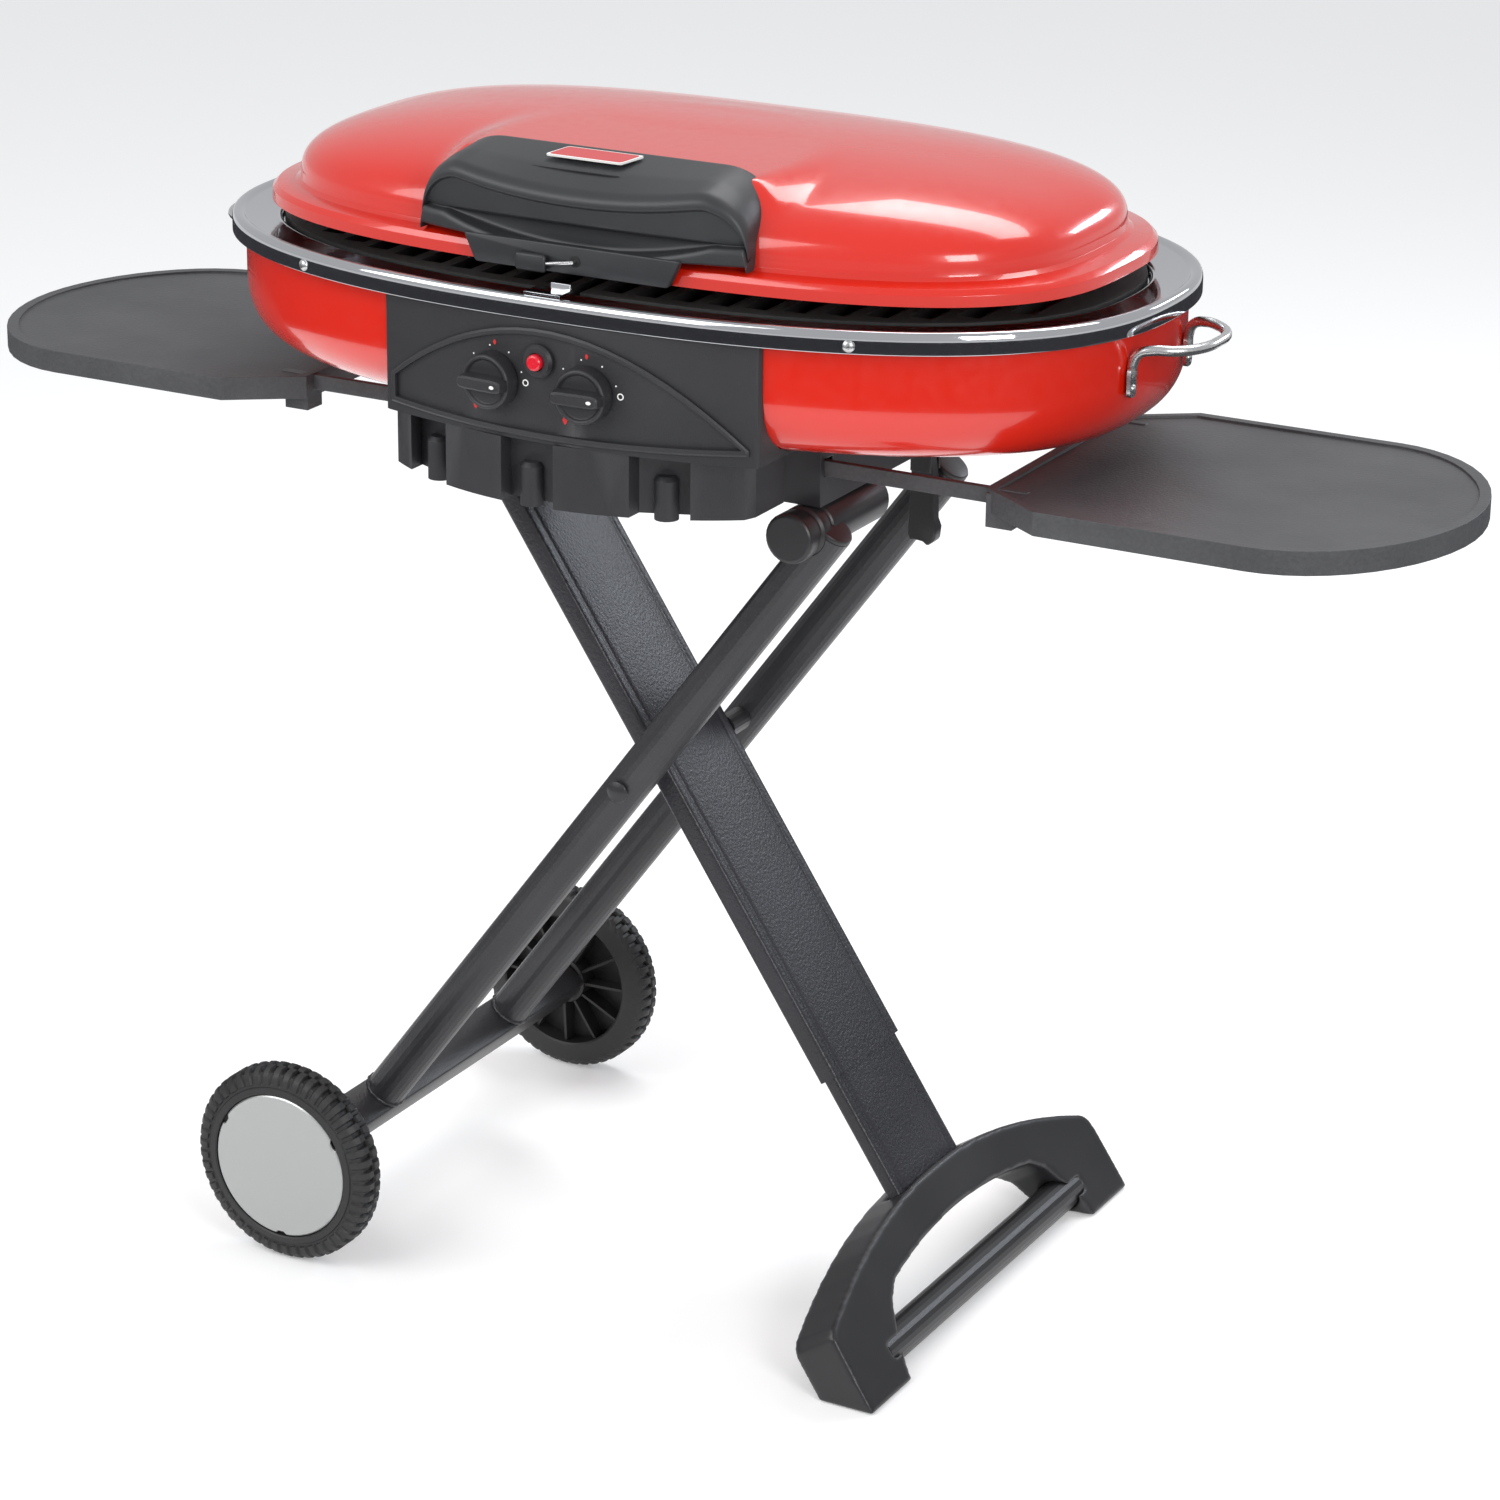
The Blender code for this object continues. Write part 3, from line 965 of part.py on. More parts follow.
# ---- release lever beside the roller -------------------------------------------------------------------
lever_outline = [(-0.0085, 0.0055), (0.0060, 0.0055), (0.0085, -0.0100), (0.0095, -0.0420),
                 (0.0120, -0.0480), (0.0110, -0.0570), (0.0050, -0.0620), (0.0010, -0.0590),
                 (-0.0050, -0.0585), (-0.0085, -0.0600), (-0.0110, -0.0550), (-0.0105, -0.0480)]
leg_release_lever = prism("leg_release_lever", [lever_outline], -0.0055, 0.0055, BLACK_PLASTIC,
                          frame_at(LEVER_PIVOT, (1, 0, 0), (0, 0, 1)))
bevel(leg_release_lever, 0.0012, 1)

# ---- set the overall box square on the origin ------------------------------------------------------------
for collection in (PARTS, CUTTERS):
    for obj in collection.objects:
        obj.location.y += BOX_SHIFT
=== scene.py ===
"""The looks of the grill on its folding stand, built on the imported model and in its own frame."""
import json
import math

import bmesh
import bpy
from mathutils import Matrix, Vector

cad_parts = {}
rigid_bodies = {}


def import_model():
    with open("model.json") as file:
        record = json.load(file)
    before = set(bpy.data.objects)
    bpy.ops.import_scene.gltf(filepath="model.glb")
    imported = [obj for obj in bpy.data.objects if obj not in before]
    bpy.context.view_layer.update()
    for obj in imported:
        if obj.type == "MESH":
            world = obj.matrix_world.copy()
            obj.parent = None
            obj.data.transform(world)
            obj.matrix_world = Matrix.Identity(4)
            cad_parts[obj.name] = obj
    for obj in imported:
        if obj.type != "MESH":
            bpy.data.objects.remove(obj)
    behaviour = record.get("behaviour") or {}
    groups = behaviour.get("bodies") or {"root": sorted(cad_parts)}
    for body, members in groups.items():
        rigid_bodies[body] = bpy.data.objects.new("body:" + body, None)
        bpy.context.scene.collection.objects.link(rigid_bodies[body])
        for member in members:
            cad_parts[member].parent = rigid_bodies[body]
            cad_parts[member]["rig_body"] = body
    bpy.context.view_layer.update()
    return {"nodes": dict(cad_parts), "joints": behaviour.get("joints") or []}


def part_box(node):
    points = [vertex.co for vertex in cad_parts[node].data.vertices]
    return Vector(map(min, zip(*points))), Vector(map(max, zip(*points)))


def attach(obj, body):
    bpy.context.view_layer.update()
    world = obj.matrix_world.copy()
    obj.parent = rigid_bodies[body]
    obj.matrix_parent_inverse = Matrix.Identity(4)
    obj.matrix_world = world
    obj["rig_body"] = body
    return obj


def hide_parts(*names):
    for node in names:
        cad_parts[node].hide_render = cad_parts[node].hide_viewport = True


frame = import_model()
nodes = frame["nodes"]
joints = {joint["name"]: joint for joint in frame["joints"]}

# ---- camera -------------------------------------------------------------------------------------
# A long lens stands well back, off the front right corner, and looks down on the grill by about
# twenty degrees, so that the panel, the lid and both tables show.
VIEW_AZIMUTH, VIEW_ELEVATION, VIEW_ROLL = (math.radians(a) for a in (29.618, 19.938, 0.247))
VIEW_CENTRE = Vector((-0.02296, -0.00732, 0.38613))
VIEW_DISTANCE = 3.3665
back = Vector((math.sin(VIEW_AZIMUTH) * math.cos(VIEW_ELEVATION),
               -math.cos(VIEW_AZIMUTH) * math.cos(VIEW_ELEVATION), math.sin(VIEW_ELEVATION)))
level = Vector((math.cos(VIEW_AZIMUTH), math.sin(VIEW_AZIMUTH), 0))
upright = back.cross(level)
right = math.cos(VIEW_ROLL) * level + math.sin(VIEW_ROLL) * upright
upward = math.cos(VIEW_ROLL) * upright - math.sin(VIEW_ROLL) * level
lens = bpy.data.cameras.new("view")
lens.lens = 110.64
lens.sensor_width = 36
lens.shift_x = 0.0577
lens.shift_y = -0.0062
lens.clip_end = 30
camera = bpy.data.objects.new("view", lens)
bpy.context.collection.objects.link(camera)
stand_point = VIEW_CENTRE + VIEW_DISTANCE * back
camera.matrix_world = Matrix.Translation(stand_point) @ Matrix(
    (right, upward, back)).transposed().to_4x4()
bpy.context.scene.camera = camera

# ---- studio -------------------------------------------------------------------------------------
# A pale floor lit a little from below, an even pale room and four soft boxes: one high on the
# left, one on the right, a strip above along the lid, and a strip behind for the leg's sheen.
FLOOR_DROP = 0.001
CLOTH_RADIUS, CLOTH_HEIGHT = 1.6, 0.50
bpy.ops.mesh.primitive_plane_add(size=40, location=(0, 0, -FLOOR_DROP))
floor = bpy.context.object
floor.name = "studio_floor"
floor_paint = bpy.data.materials.new("studio_floor")
floor_paint.use_nodes = True
paint = floor_paint.node_tree.nodes["Principled BSDF"]
paint.inputs["Base Color"].default_value = (0.86, 0.86, 0.86, 1)
paint.inputs["Roughness"].default_value = 0.9
paint.inputs["Emission Color"].default_value = (1, 1, 1, 1)
paint.inputs["Emission Strength"].default_value = 0.22
floor.data.materials.append(floor_paint)
room = bpy.data.worlds.new("studio")
room.use_nodes = True
room.node_tree.nodes["Background"].inputs["Color"].default_value = (0.97, 0.98, 1.0, 1)
room.node_tree.nodes["Background"].inputs["Strength"].default_value = 0.62
bpy.context.scene.world = room
bpy.context.scene.view_settings.view_transform = "Standard"
bpy.ops.mesh.primitive_cylinder_add(vertices=64, radius=CLOTH_RADIUS, depth=CLOTH_HEIGHT,
                                    end_fill_type="NOTHING", location=(0, 0, CLOTH_HEIGHT / 2))
dark_cloth = bpy.context.object       # hangs low all round, and shows only in polished surfaces
dark_cloth.name = "studio_dark_cloth"
cloth_dye = bpy.data.materials.new("studio_dark_cloth")
cloth_dye.use_nodes = True
dye = cloth_dye.node_tree.nodes["Principled BSDF"]
dye.inputs["Base Color"].default_value = (0.03, 0.03, 0.035, 1)
dye.inputs["Roughness"].default_value = 1.0
dark_cloth.data.materials.append(cloth_dye)
dark_cloth.visible_camera = dark_cloth.visible_diffuse = dark_cloth.visible_shadow = False
for name, place, aim, size, power in (       # metres and watts
        ("key_box", (-1.5, -2.3, 2.3), (0, 0, 0.6), (2.6, 2.0), 56),
        ("side_box", (2.6, -1.9, 1.7), (0.1, 0, 0.6), (1.0, 1.2), 42),
        ("top_strip", (0.3, 1.1, 2.7), (0, 0.05, 0.8), (2.2, 0.7), 30),
        ("back_strip", (1.3, 2.4, 1.62), (-0.05, 0, 0.5), (1.0, 0.40), 14)):
    lamp = bpy.data.lights.new(name, "AREA")
    lamp.shape = "RECTANGLE"
    lamp.size, lamp.size_y = size
    lamp.energy = power
    box = bpy.data.objects.new(name, lamp)
    bpy.context.collection.objects.link(box)
    box.location = place
    box.visible_camera = False
    box.rotation_euler = (Vector(aim) - Vector(place)).to_track_quat("-Z", "Y").to_euler()
lamp.color = (0.84, 0.90, 1.0)


# ---- firebox ------------------------------------------------------------------------------------
# The cooking box is one deep-drawn steel bowl in red enamel: an oval wall, a wide rounded lower
# corner and a flat floor.
class Socket:
    """One output in a material's node tree; sums and products of outputs become Math nodes."""

    def __init__(self, material, output=None):
        self.material, self.output = material, output

    def add(self, kind, inputs=None, output=0, **options):
        """Make a node, set its options and inputs, and give one of its outputs."""
        made = self.material.node_tree.nodes.new("ShaderNode" + kind)
        for option, value in options.items():
            setattr(made, option, value)
        for key, value in (inputs or {}).items():
            if isinstance(value, Socket):
                self.material.node_tree.links.new(value.output, made.inputs[key])
            else:
                made.inputs[key].default_value = value
        return Socket(self.material, made.outputs[output])

    def into(self, name):
        """Feed this output to the material's surface shader."""
        shader = self.material.node_tree.nodes["Principled BSDF"]
        self.material.node_tree.links.new(self.output, shader.inputs[name])

    def spread(self, low, high, to_low, to_high):
        """This output stretched from one range to another."""
        return self.add("MapRange", {0: self, 1: low, 2: high, 3: to_low, 4: to_high})

    def __add__(self, other):
        return self.add("Math", {0: self, 1: other}, operation="ADD")

    def __mul__(self, other):
        return self.add("Math", {0: self, 1: other}, operation="MULTIPLY")

    __radd__, __rmul__ = __add__, __mul__


def surface(name, colour, roughness, metallic=0.0, **more):
    """A material whose even values sit on its own shader."""
    material = bpy.data.materials.new(name)
    material.use_nodes = True
    shader = material.node_tree.nodes["Principled BSDF"]
    shader.inputs["Base Color"].default_value = (*colour, 1)
    shader.inputs["Roughness"].default_value = roughness
    shader.inputs["Metallic"].default_value = metallic
    for label, value in more.items():
        shader.inputs[label.replace("_", " ").title().replace("Ior", "IOR")].default_value = value
    return material


def grain(material, scale, depth, detail=3.0, stretch=(1, 1, 1)):
    """Bump of one grain size over the whole surface, and the noise behind it."""
    place = Socket(material).add("TexCoord", output="Object")
    place = Socket(material).add("Mapping", {"Vector": place, "Scale": stretch})
    noise = Socket(material).add("TexNoise", {"Vector": place, "Scale": scale, "Detail": detail})
    bump = Socket(material).add("Bump", {"Height": noise, "Strength": 1.0, "Distance": depth})
    bump.into("Normal")
    return noise


def coated(name, dark, light, roughness, scale, depth, metallic=0.0, **more):
    """A finish whose grain also shifts its colour and its gloss a little."""
    material = surface(name, light, roughness, metallic, **more)
    noise = grain(material, scale, depth)
    broad = Socket(material).add("TexNoise", {
        "Vector": Socket(material).add("TexCoord", output="Object"), "Scale": 9.0, "Detail": 4.0})
    Socket(material).add("Mix", {0: broad.spread(0.3, 0.7, 0, 1), 6: (*dark, 1),
                                 7: (*light, 1)}, 2, data_type="RGBA").into("Base Color")
    (broad * 0.08 + noise * 0.06 + (roughness - 0.07)).into("Roughness")
    return material


def oval(half_x, half_y, power, count):
    """Points of a superellipse in plan, closer together where it turns tightly."""
    points = []
    for i in range(count):
        c, s = math.cos(2 * math.pi * i / count), math.sin(2 * math.pi * i / count)
        points.append((half_x * math.copysign(abs(c) ** (2 / power), c),
                       half_y * math.copysign(abs(s) ** (2 / power), s)))
    return points


def skin(name, rings, material, body, ends=True, replaced=(), angle=40):
    """A piece skinned over rings of points, riding on its body."""
    bm = bmesh.new()
    rows = [[bm.verts.new(point) for point in ring] for ring in rings]
    pairs = list(zip(rows, rows[1:])) + ([] if ends else [(rows[-1], rows[0])])
    for first, second in pairs:
        for i in range(len(first)):
            j = (i + 1) % len(first)
            bm.faces.new((first[i], first[j], second[j], second[i]))
    if ends:
        bm.faces.new(rows[0])
        bm.faces.new(rows[-1])
    return placed(name, bm, material, body, replaced, angle)


def placed(name, bm, material, body, replaced=(), angle=40):
    """Close a bmesh into a named piece that rides on a body."""
    bmesh.ops.recalc_face_normals(bm, faces=bm.faces[:])
    mesh = bpy.data.meshes.new(name)
    bm.to_mesh(mesh)
    bm.free()
    mesh.shade_smooth()
    mesh.set_sharp_from_angle(angle=math.radians(angle))
    mesh.materials.append(material)
    piece = bpy.data.objects.new(name, mesh)
    bpy.context.collection.objects.link(piece)
    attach(piece, body)
    if replaced:
        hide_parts(*replaced)
    return piece


enamel = surface("red_enamel", (0.60, 0.013, 0.003), 0.22, Coat_Weight=0.7, Coat_Roughness=0.04)
orange_peel = grain(enamel, 130, 0.00004, 2.0)
orange_peel.spread(0.3, 0.7, 0.18, 0.26).into("Roughness")

box_low, box_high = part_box("firebox")
middle = (box_low + box_high) / 2
BOWL_LENGTH, BOWL_DEPTH = (box_high.x - box_low.x) / 2, (box_high.y - box_low.y) / 2
BOWL_POWER = 2.4
BOWL_FLOOR = box_low.z
BOWL_CORNER_REACH, BOWL_CORNER_RISE = 0.052, 0.050
BOWL_CORNER_POWER = 2.3
BOWL_WALL = 0.002


def bowl_ring(inset, z, grown):
    """One level of the bowl, drawn in by an inset and moved out by a wall thickness."""
    return [(middle.x + x, middle.y + y, z) for x, y in oval(
        BOWL_LENGTH - inset + grown, BOWL_DEPTH - inset + grown, BOWL_POWER, 192)]


def bowl_rings(grown):
    """Levels of the bowl from its brim to its floor."""
    rings = [bowl_ring(0, box_high.z, grown)]
    for i in range(4):
        rings.append(bowl_ring(0, box_high.z - 0.008 * (i + 0.5), grown))
    for i in range(25):
        part = math.cos(math.pi / 2 * i / 24)
        z = BOWL_FLOOR - grown + BOWL_CORNER_RISE * (
            1 - (1 - part ** BOWL_CORNER_POWER) ** (1 / BOWL_CORNER_POWER))
        rings.append(bowl_ring(BOWL_CORNER_REACH * (1 - part), z, grown))
    return rings


skin("bowl", bowl_rings(0)[::-1] + bowl_rings(-BOWL_WALL), enamel, "chassis",
     replaced=("firebox",))

# ---- rim ring -----------------------------------------------------------------------------------
# A folded steel ring in bright chrome closes the top of the bowl: a skirt outside, a rolled bead
# on its edge, and a flat flange inside that steps down to carry the grates.
chrome = surface("chrome", (0.58, 0.59, 0.61), 0.05, 1.0)
wipe_marks = grain(chrome, 240, 0.000012, 2.0)
wipe_marks.spread(0.35, 0.75, 0.035, 0.085).into("Roughness")


def eased(points, radius, steps=4, closed=False):
    """A chain of flat points with each corner turned into a short arc."""
    out = []
    count = len(points)
    for i, point in enumerate(points):
        here = Vector(point)
        if not closed and i in (0, count - 1):
            out.append(here)
            continue
        before, after = Vector(points[i - 1]) - here, Vector(points[(i + 1) % count]) - here
        cut = min(radius, before.length * 0.48, after.length * 0.48)
        start, end = here + before.normalized() * cut, here + after.normalized() * cut
        for k in range(steps + 1):
            t = k / steps
            out.append((1 - t) ** 2 * start + 2 * t * (1 - t) * here + t ** 2 * end)
    return out


ring_low, ring_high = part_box("rim_ring")
ring_length, ring_depth = (ring_high.x - ring_low.x) / 2, (ring_high.y - ring_low.y) / 2
top = ring_high.z
RING_SECTION = [                   # inset from the skirt, height
    (0.0000, ring_low.z), (0.0000, top - 0.0046), (0.0012, top - 0.0010), (0.0040, top),
    (0.0072, top - 0.0008), (0.0092, top - 0.0026), (0.0320, top - 0.0035),
    (0.0345, top - 0.0055), (0.0345, top - 0.0120), (0.0450, top - 0.0125),
    (0.0450, top - 0.0140), (0.0330, top - 0.0135), (0.0330, top - 0.0060),
    (0.0310, top - 0.0050), (0.0080, top - 0.0042), (0.0040, top - 0.0030),
    (0.0020, top - 0.0060), (0.0014, ring_low.z)]
skin("rim", [[(middle.x + x, middle.y + y, z) for x, y in oval(
    ring_length - inset, ring_depth - inset, BOWL_POWER, 224)]
    for inset, z in eased(RING_SECTION, 0.0016, 3, closed=True)],
    chrome, "chassis", ends=False, replaced=("rim_ring",))

# ---- rim screws ---------------------------------------------------------------------------------
# Four pan-head steel screws hold the ring to the bowl. Each has a domed head with a cross
# recess, and stands square to the wall where it is driven in.
steel = surface("bright_steel", (0.60, 0.60, 0.60), 0.26, 1.0)
grain(steel, 420, 0.00002, 2.0, (1, 1, 6)).spread(0.3, 0.7, 0.2, 0.34).into("Roughness")
SCREW_SECTION = [(0.0018, -0.0044), (0.0018, -0.0006), (0.0043, -0.0006), (0.0042, 0.0006),
                 (0.0034, 0.0017), (0.0020, 0.0024)]         # radius, height
CROSS_SLOT = (0.0034, 0.0007, 0.0003)


def walled(bm, rows):
    """Faces between rows of points that each run right round, and a cap at both ends."""
    count = len(rows[0])
    for first, second in zip(rows, rows[1:]):
        for k in range(count):
            n = (k + 1) % count
            bm.faces.new((first[k], first[n], second[n], second[k]))
    bm.faces.new(rows[0])
    bm.faces.new(rows[-1])


def turned(bm, section, count):
    """Faces of a closed shape turned about the z axis from (radius, height) points."""
    walled(bm, [[bm.verts.new((r * math.cos(a), r * math.sin(a), h)) for a in
                 (2 * math.pi * k / count for k in range(count))] for r, h in section])


for i in range(1, 5):
    low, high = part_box(f"rim_screw_{i}")
    seat = (low + high) / 2
    out = Vector((seat.x / ring_length ** 2, (seat.y - middle.y) / ring_depth ** 2, 0)).normalized()
    bm = bmesh.new()
    turned(bm, SCREW_SECTION, 24)
    for turn in (0, math.pi / 2):
        made = bmesh.ops.create_cube(bm, size=1)["verts"]
        bmesh.ops.scale(bm, vec=CROSS_SLOT, verts=made)
        bmesh.ops.rotate(bm, cent=(0, 0, 0), matrix=Matrix.Rotation(turn, 3, "Z"), verts=made)
        bmesh.ops.translate(bm, vec=(0, 0, SCREW_SECTION[-1][1]), verts=made)
    turn = out.to_track_quat("Z", "Y").to_matrix().to_4x4()
    bmesh.ops.transform(bm, matrix=Matrix.Translation(seat) @ turn, verts=bm.verts)
    placed(f"rim_screw_head_{i}", bm, steel, "chassis", (f"rim_screw_{i}",))

# ---- inside the bowl ----------------------------------------------------------------------------
# Two enamelled cast grates rest on the step of the ring, over two steel tube burners, a spark
# electrode and a pressed pan for the grease.
iron = coated("cast_iron", (0.008, 0.008, 0.008), (0.022, 0.021, 0.020), 0.55, 900, 0.00035,
              Coat_Weight=0.3, Coat_Roughness=0.3)
dull_steel = coated("burner_steel", (0.28, 0.26, 0.24), (0.45, 0.43, 0.41), 0.4, 500, 0.00003, 1.0)
porcelain = surface("ceramic", (0.78, 0.76, 0.70), 0.25, Coat_Weight=0.6)
grain(porcelain, 500, 0.00003)
for name, material in (("cooking_grate_left", iron), ("cooking_grate_right", iron),
                       ("burner_left", dull_steel), ("burner_right", dull_steel),
                       ("grease_pan", dull_steel), ("spark_electrode", porcelain)):
    nodes[name].data.materials[0] = material

# ---- control panel ------------------------------------------------------------------------------
# A hollow moulding in fine-grained dark plastic wraps the front of the bowl. Its lower skirt has
# square blocks and half-round posts, and a lens-shaped bead frames the controls.
grey_plastic = coated("black_plastic", (0.015, 0.015, 0.017), (0.023, 0.023, 0.026), 0.46, 1300,
                      0.00016)


def moulded(node, name, material, width, segments=3):
    """A piece in the shape of a CAD node, its flat faces whole and its edges rounded."""
    bm = bmesh.new()
    bm.from_mesh(nodes[node].data)
    bmesh.ops.remove_doubles(bm, verts=bm.verts, dist=0.000005)
    bmesh.ops.dissolve_limit(bm, angle_limit=math.radians(1.0), verts=bm.verts, edges=bm.edges)
    piece = placed(name, bm, material, nodes[node]["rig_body"], (node,))
    edge = piece.modifiers.new("rounded_edges", "BEVEL")
    edge.width = width
    edge.segments = segments
    edge.limit_method = "ANGLE"
    edge.angle_limit = math.radians(30)
    edge.harden_normals = False
    return piece


moulded("control_panel", "panel_housing", grey_plastic, 0.0012)
moulded("panel_bezel", "panel_bead", grey_plastic, 0.0004, 2)
moulded("igniter_collar", "button_collar", grey_plastic, 0.0006, 2)
red_button = surface("button_red", (0.62, 0.006, 0.02), 0.22, Coat_Weight=0.7)
grain(red_button, 300, 0.00002).spread(0.3, 0.7, 0.18, 0.3).into("Roughness")
moulded("igniter_button", "button_cap", red_button, 0.0007)
brass = coated("brass", (0.42, 0.28, 0.10), (0.62, 0.44, 0.17), 0.3, 600, 0.00003, 1.0)
for name in ("valve_left", "valve_right", "gas_manifold", "gas_inlet_fitting"):
    nodes[name].data.materials[0] = brass
nodes["igniter_housing"].data.materials[0] = grey_plastic

# ---- knobs --------------------------------------------------------------------------------------
# Each knob is one moulding: a round skirt, a sunk face and a bar grip right across it, with a
# white dot painted on the end of the grip that points to the setting.
white_paint = surface("white_paint", (0.82, 0.82, 0.80), 0.4)
grain(white_paint, 900, 0.00002)
red_paint = surface("red_paint", (0.55, 0.02, 0.02), 0.4)
grain(red_paint, 900, 0.00002)
KNOB_SECTION = [(0.0, -0.0050), (0.0045, -0.0050), (0.0045, 0.0009), (0.0197, 0.0009),
                (0.0197, 0.0050), (0.0190, 0.0112), (0.0176, 0.0124), (0.0160, 0.0118),
                (0.0150, 0.0104), (0.0, 0.0100)]             # radius, height
GRIP_LEVELS = [(0.0085, 0.0056, 0.0186), (0.0120, 0.0054, 0.0187), (0.0165, 0.0050, 0.0184),
               (0.0190, 0.0044, 0.0178), (0.0203, 0.0030, 0.0164)]    # height and half sizes
DOT_REACH = 0.0118
for side in ("left", "right"):
    joint = joints[f"{side}_knob_turn"]
    seat, out = Vector(joint["pos_m"]), Vector(joint["axis"]).normalized()
    across = Vector((0, 0, 1)).cross(out).normalized()
    knob_frame = Matrix.Translation(seat) @ Matrix((across, Vector((0, 0, 1)), out)
                                                   ).transposed().to_4x4()
    bm = bmesh.new()
    turned(bm, eased(KNOB_SECTION, 0.0008, 3)[1:-1], 72)
    walled(bm, [[bm.verts.new((x, y, h)) for x, y in oval(half_length, half_width, 5, 48)]
                for h, half_width, half_length in GRIP_LEVELS])
    bmesh.ops.transform(bm, matrix=knob_frame, verts=bm.verts)
    placed(f"{side}_knob_moulding", bm, grey_plastic, f"{side}_knob",
           (f"knob_{side}",), 32)
    skin(f"{side}_knob_dot", [[knob_frame @ Vector((DOT_REACH + x, y, h)) for x, y in
                               oval(0.0019, 0.0012, 2, 24)] for h in (0.0200, 0.02045)],
         white_paint, f"{side}_knob")

# ---- panel markings -----------------------------------------------------------------------------
# Plain printed marks stand round each knob: a ring for off, a small mark for low and a larger
# one for high.
left_seat, right_seat = (Vector(joints[f"{side}_knob_turn"]["pos_m"]) for side in ("left", "right"))
left_out, right_out = (Vector(joints[f"{side}_knob_turn"]["axis"]) for side in ("left", "right"))
FACE_RADIUS = (right_seat.x - left_seat.x) / (right_out.x - left_out.x)
face_centre = left_seat - left_out * FACE_RADIUS
INK_LOW, INK_HIGH = -0.0002, 0.00015
TICK_REACH = 0.0232


def on_face(x, z, proud):
    """A point on the curved face of the panel."""
    return Vector((x, face_centre.y - proud
                   - math.sqrt(FACE_RADIUS ** 2 - (x - face_centre.x) ** 2), z))


def printed(name, x, z, outline, material):
    """A filled mark on the face of the panel."""
    skin(name, [[on_face(x + u, z + v, proud) for u, v in outline]
                for proud in (INK_LOW, INK_HIGH)], material, "chassis")


for side in ("left", "right"):
    knob = Vector(joints[f"{side}_knob_turn"]["pos_m"])
    outer = oval(0.0024, 0.0024, 2, 24)
    inner = oval(0.0016, 0.0016, 2, 24)
    x, z = knob.x + 0.0250, knob.z + 0.0010
    skin(f"{side}_off_ring", [[on_face(x + u, z + v, proud) for u, v in loop]
                              for loop, proud in ((outer, INK_HIGH), (outer, INK_LOW),
                                                  (inner, INK_LOW), (inner, INK_HIGH))],
         white_paint, "chassis", ends=False)
    printed(f"{side}_low_mark", knob.x, knob.z + 0.0255, oval(0.0012, 0.0019, 1.4, 16), red_paint)
    printed(f"{side}_high_mark", knob.x - 0.0165, knob.z - 0.0205,
            oval(0.0019, 0.0030, 1.4, 16), red_paint)
    for angle in (20, 60, 100, 140, 180, 205):
        turn = math.radians(angle)
        printed(f"{side}_tick_{angle}", knob.x + TICK_REACH * math.cos(turn),
                knob.z + TICK_REACH * math.sin(turn), oval(0.0006, 0.0006, 2, 12), white_paint)

# ---- lid ----------------------------------------------------------------------------------------
# The lid is a second deep-drawn shell in the same red enamel: a lip that hangs over the ring, a
# narrow ledge, and a long domed crown with a raised pad that runs back from the handle.
lid_low, lid_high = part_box("lid_shell")
LIP_LENGTH, LIP_DEPTH = (lid_high.x - lid_low.x) / 2, (lid_high.y - lid_low.y) / 2
CROWN_LENGTH, CROWN_DEPTH = LIP_LENGTH - 0.022, LIP_DEPTH - 0.014
LID_POWER = 2.85
LID_WALL = 0.002
CROWN_TOP = 0.8458
crown_base = lid_low.z + 0.0200
LID_EDGE = [(0.00, 0.0), (0.03, 0.0075), (0.20, 0.0112), (0.80, 0.0135), (0.96, 0.0160),
            (1.00, 0.0200)]       # share of the way from lip to crown, rise


def crown_pad(x, y, z):
    """Height of the lid with the raised pad behind the handle."""
    near = math.hypot(x / 0.132, (y + 0.100) / 0.160)
    share = min(max((1.06 - near) / 0.20, 0.0), 1.0)
    front = min(max((y + 0.1560) / 0.0240, 0.0), 1.0)
    share = share * share * (3 - 2 * share) * front * front * (3 - 2 * front)
    return z + share * max(CROWN_TOP - 0.0004 - 0.06 * abs(y) ** 1.5 - z, 0.0)


def lid_rings(wall):
    """Rings of the lid from the lip to the crown, drawn in by a wall thickness."""
    rings = []
    stages = [(share, lid_low.z + rise, LID_POWER) for share, rise in
              [(p.x, p.y) for p in eased(LID_EDGE, 0.0035, 5)]]
    rises = [math.sin(math.pi / 2 * i / 44) for i in range(1, 45)]
    for rise in rises[:-1]:
        reach = (1 - rise ** 2.6) ** (1 / 3.0)
        stages.append((reach, crown_base + (CROWN_TOP - crown_base) * rise, -1))
    for reach, z, power in stages:
        if power > 0:
            half_x = LIP_LENGTH + (CROWN_LENGTH - LIP_LENGTH) * reach
            half_y = LIP_DEPTH + (CROWN_DEPTH - LIP_DEPTH) * reach
        else:
            half_x, half_y = CROWN_LENGTH * reach, CROWN_DEPTH * reach ** 1.5
            power = LID_POWER - 0.45 * (1 - reach)
        rings.append([(middle.x + x, middle.y + y, crown_pad(x, y, z) - wall)
                      for x, y in oval(half_x - wall, half_y - wall, power, 224)])
    if wall:
        rings[0] = [(x, y, lid_low.z) for x, y, _ in rings[0]]
    return rings


skin("lid", lid_rings(LID_WALL)[::-1] + lid_rings(0), enamel, "lid",
     replaced=("lid_shell",), angle=50)

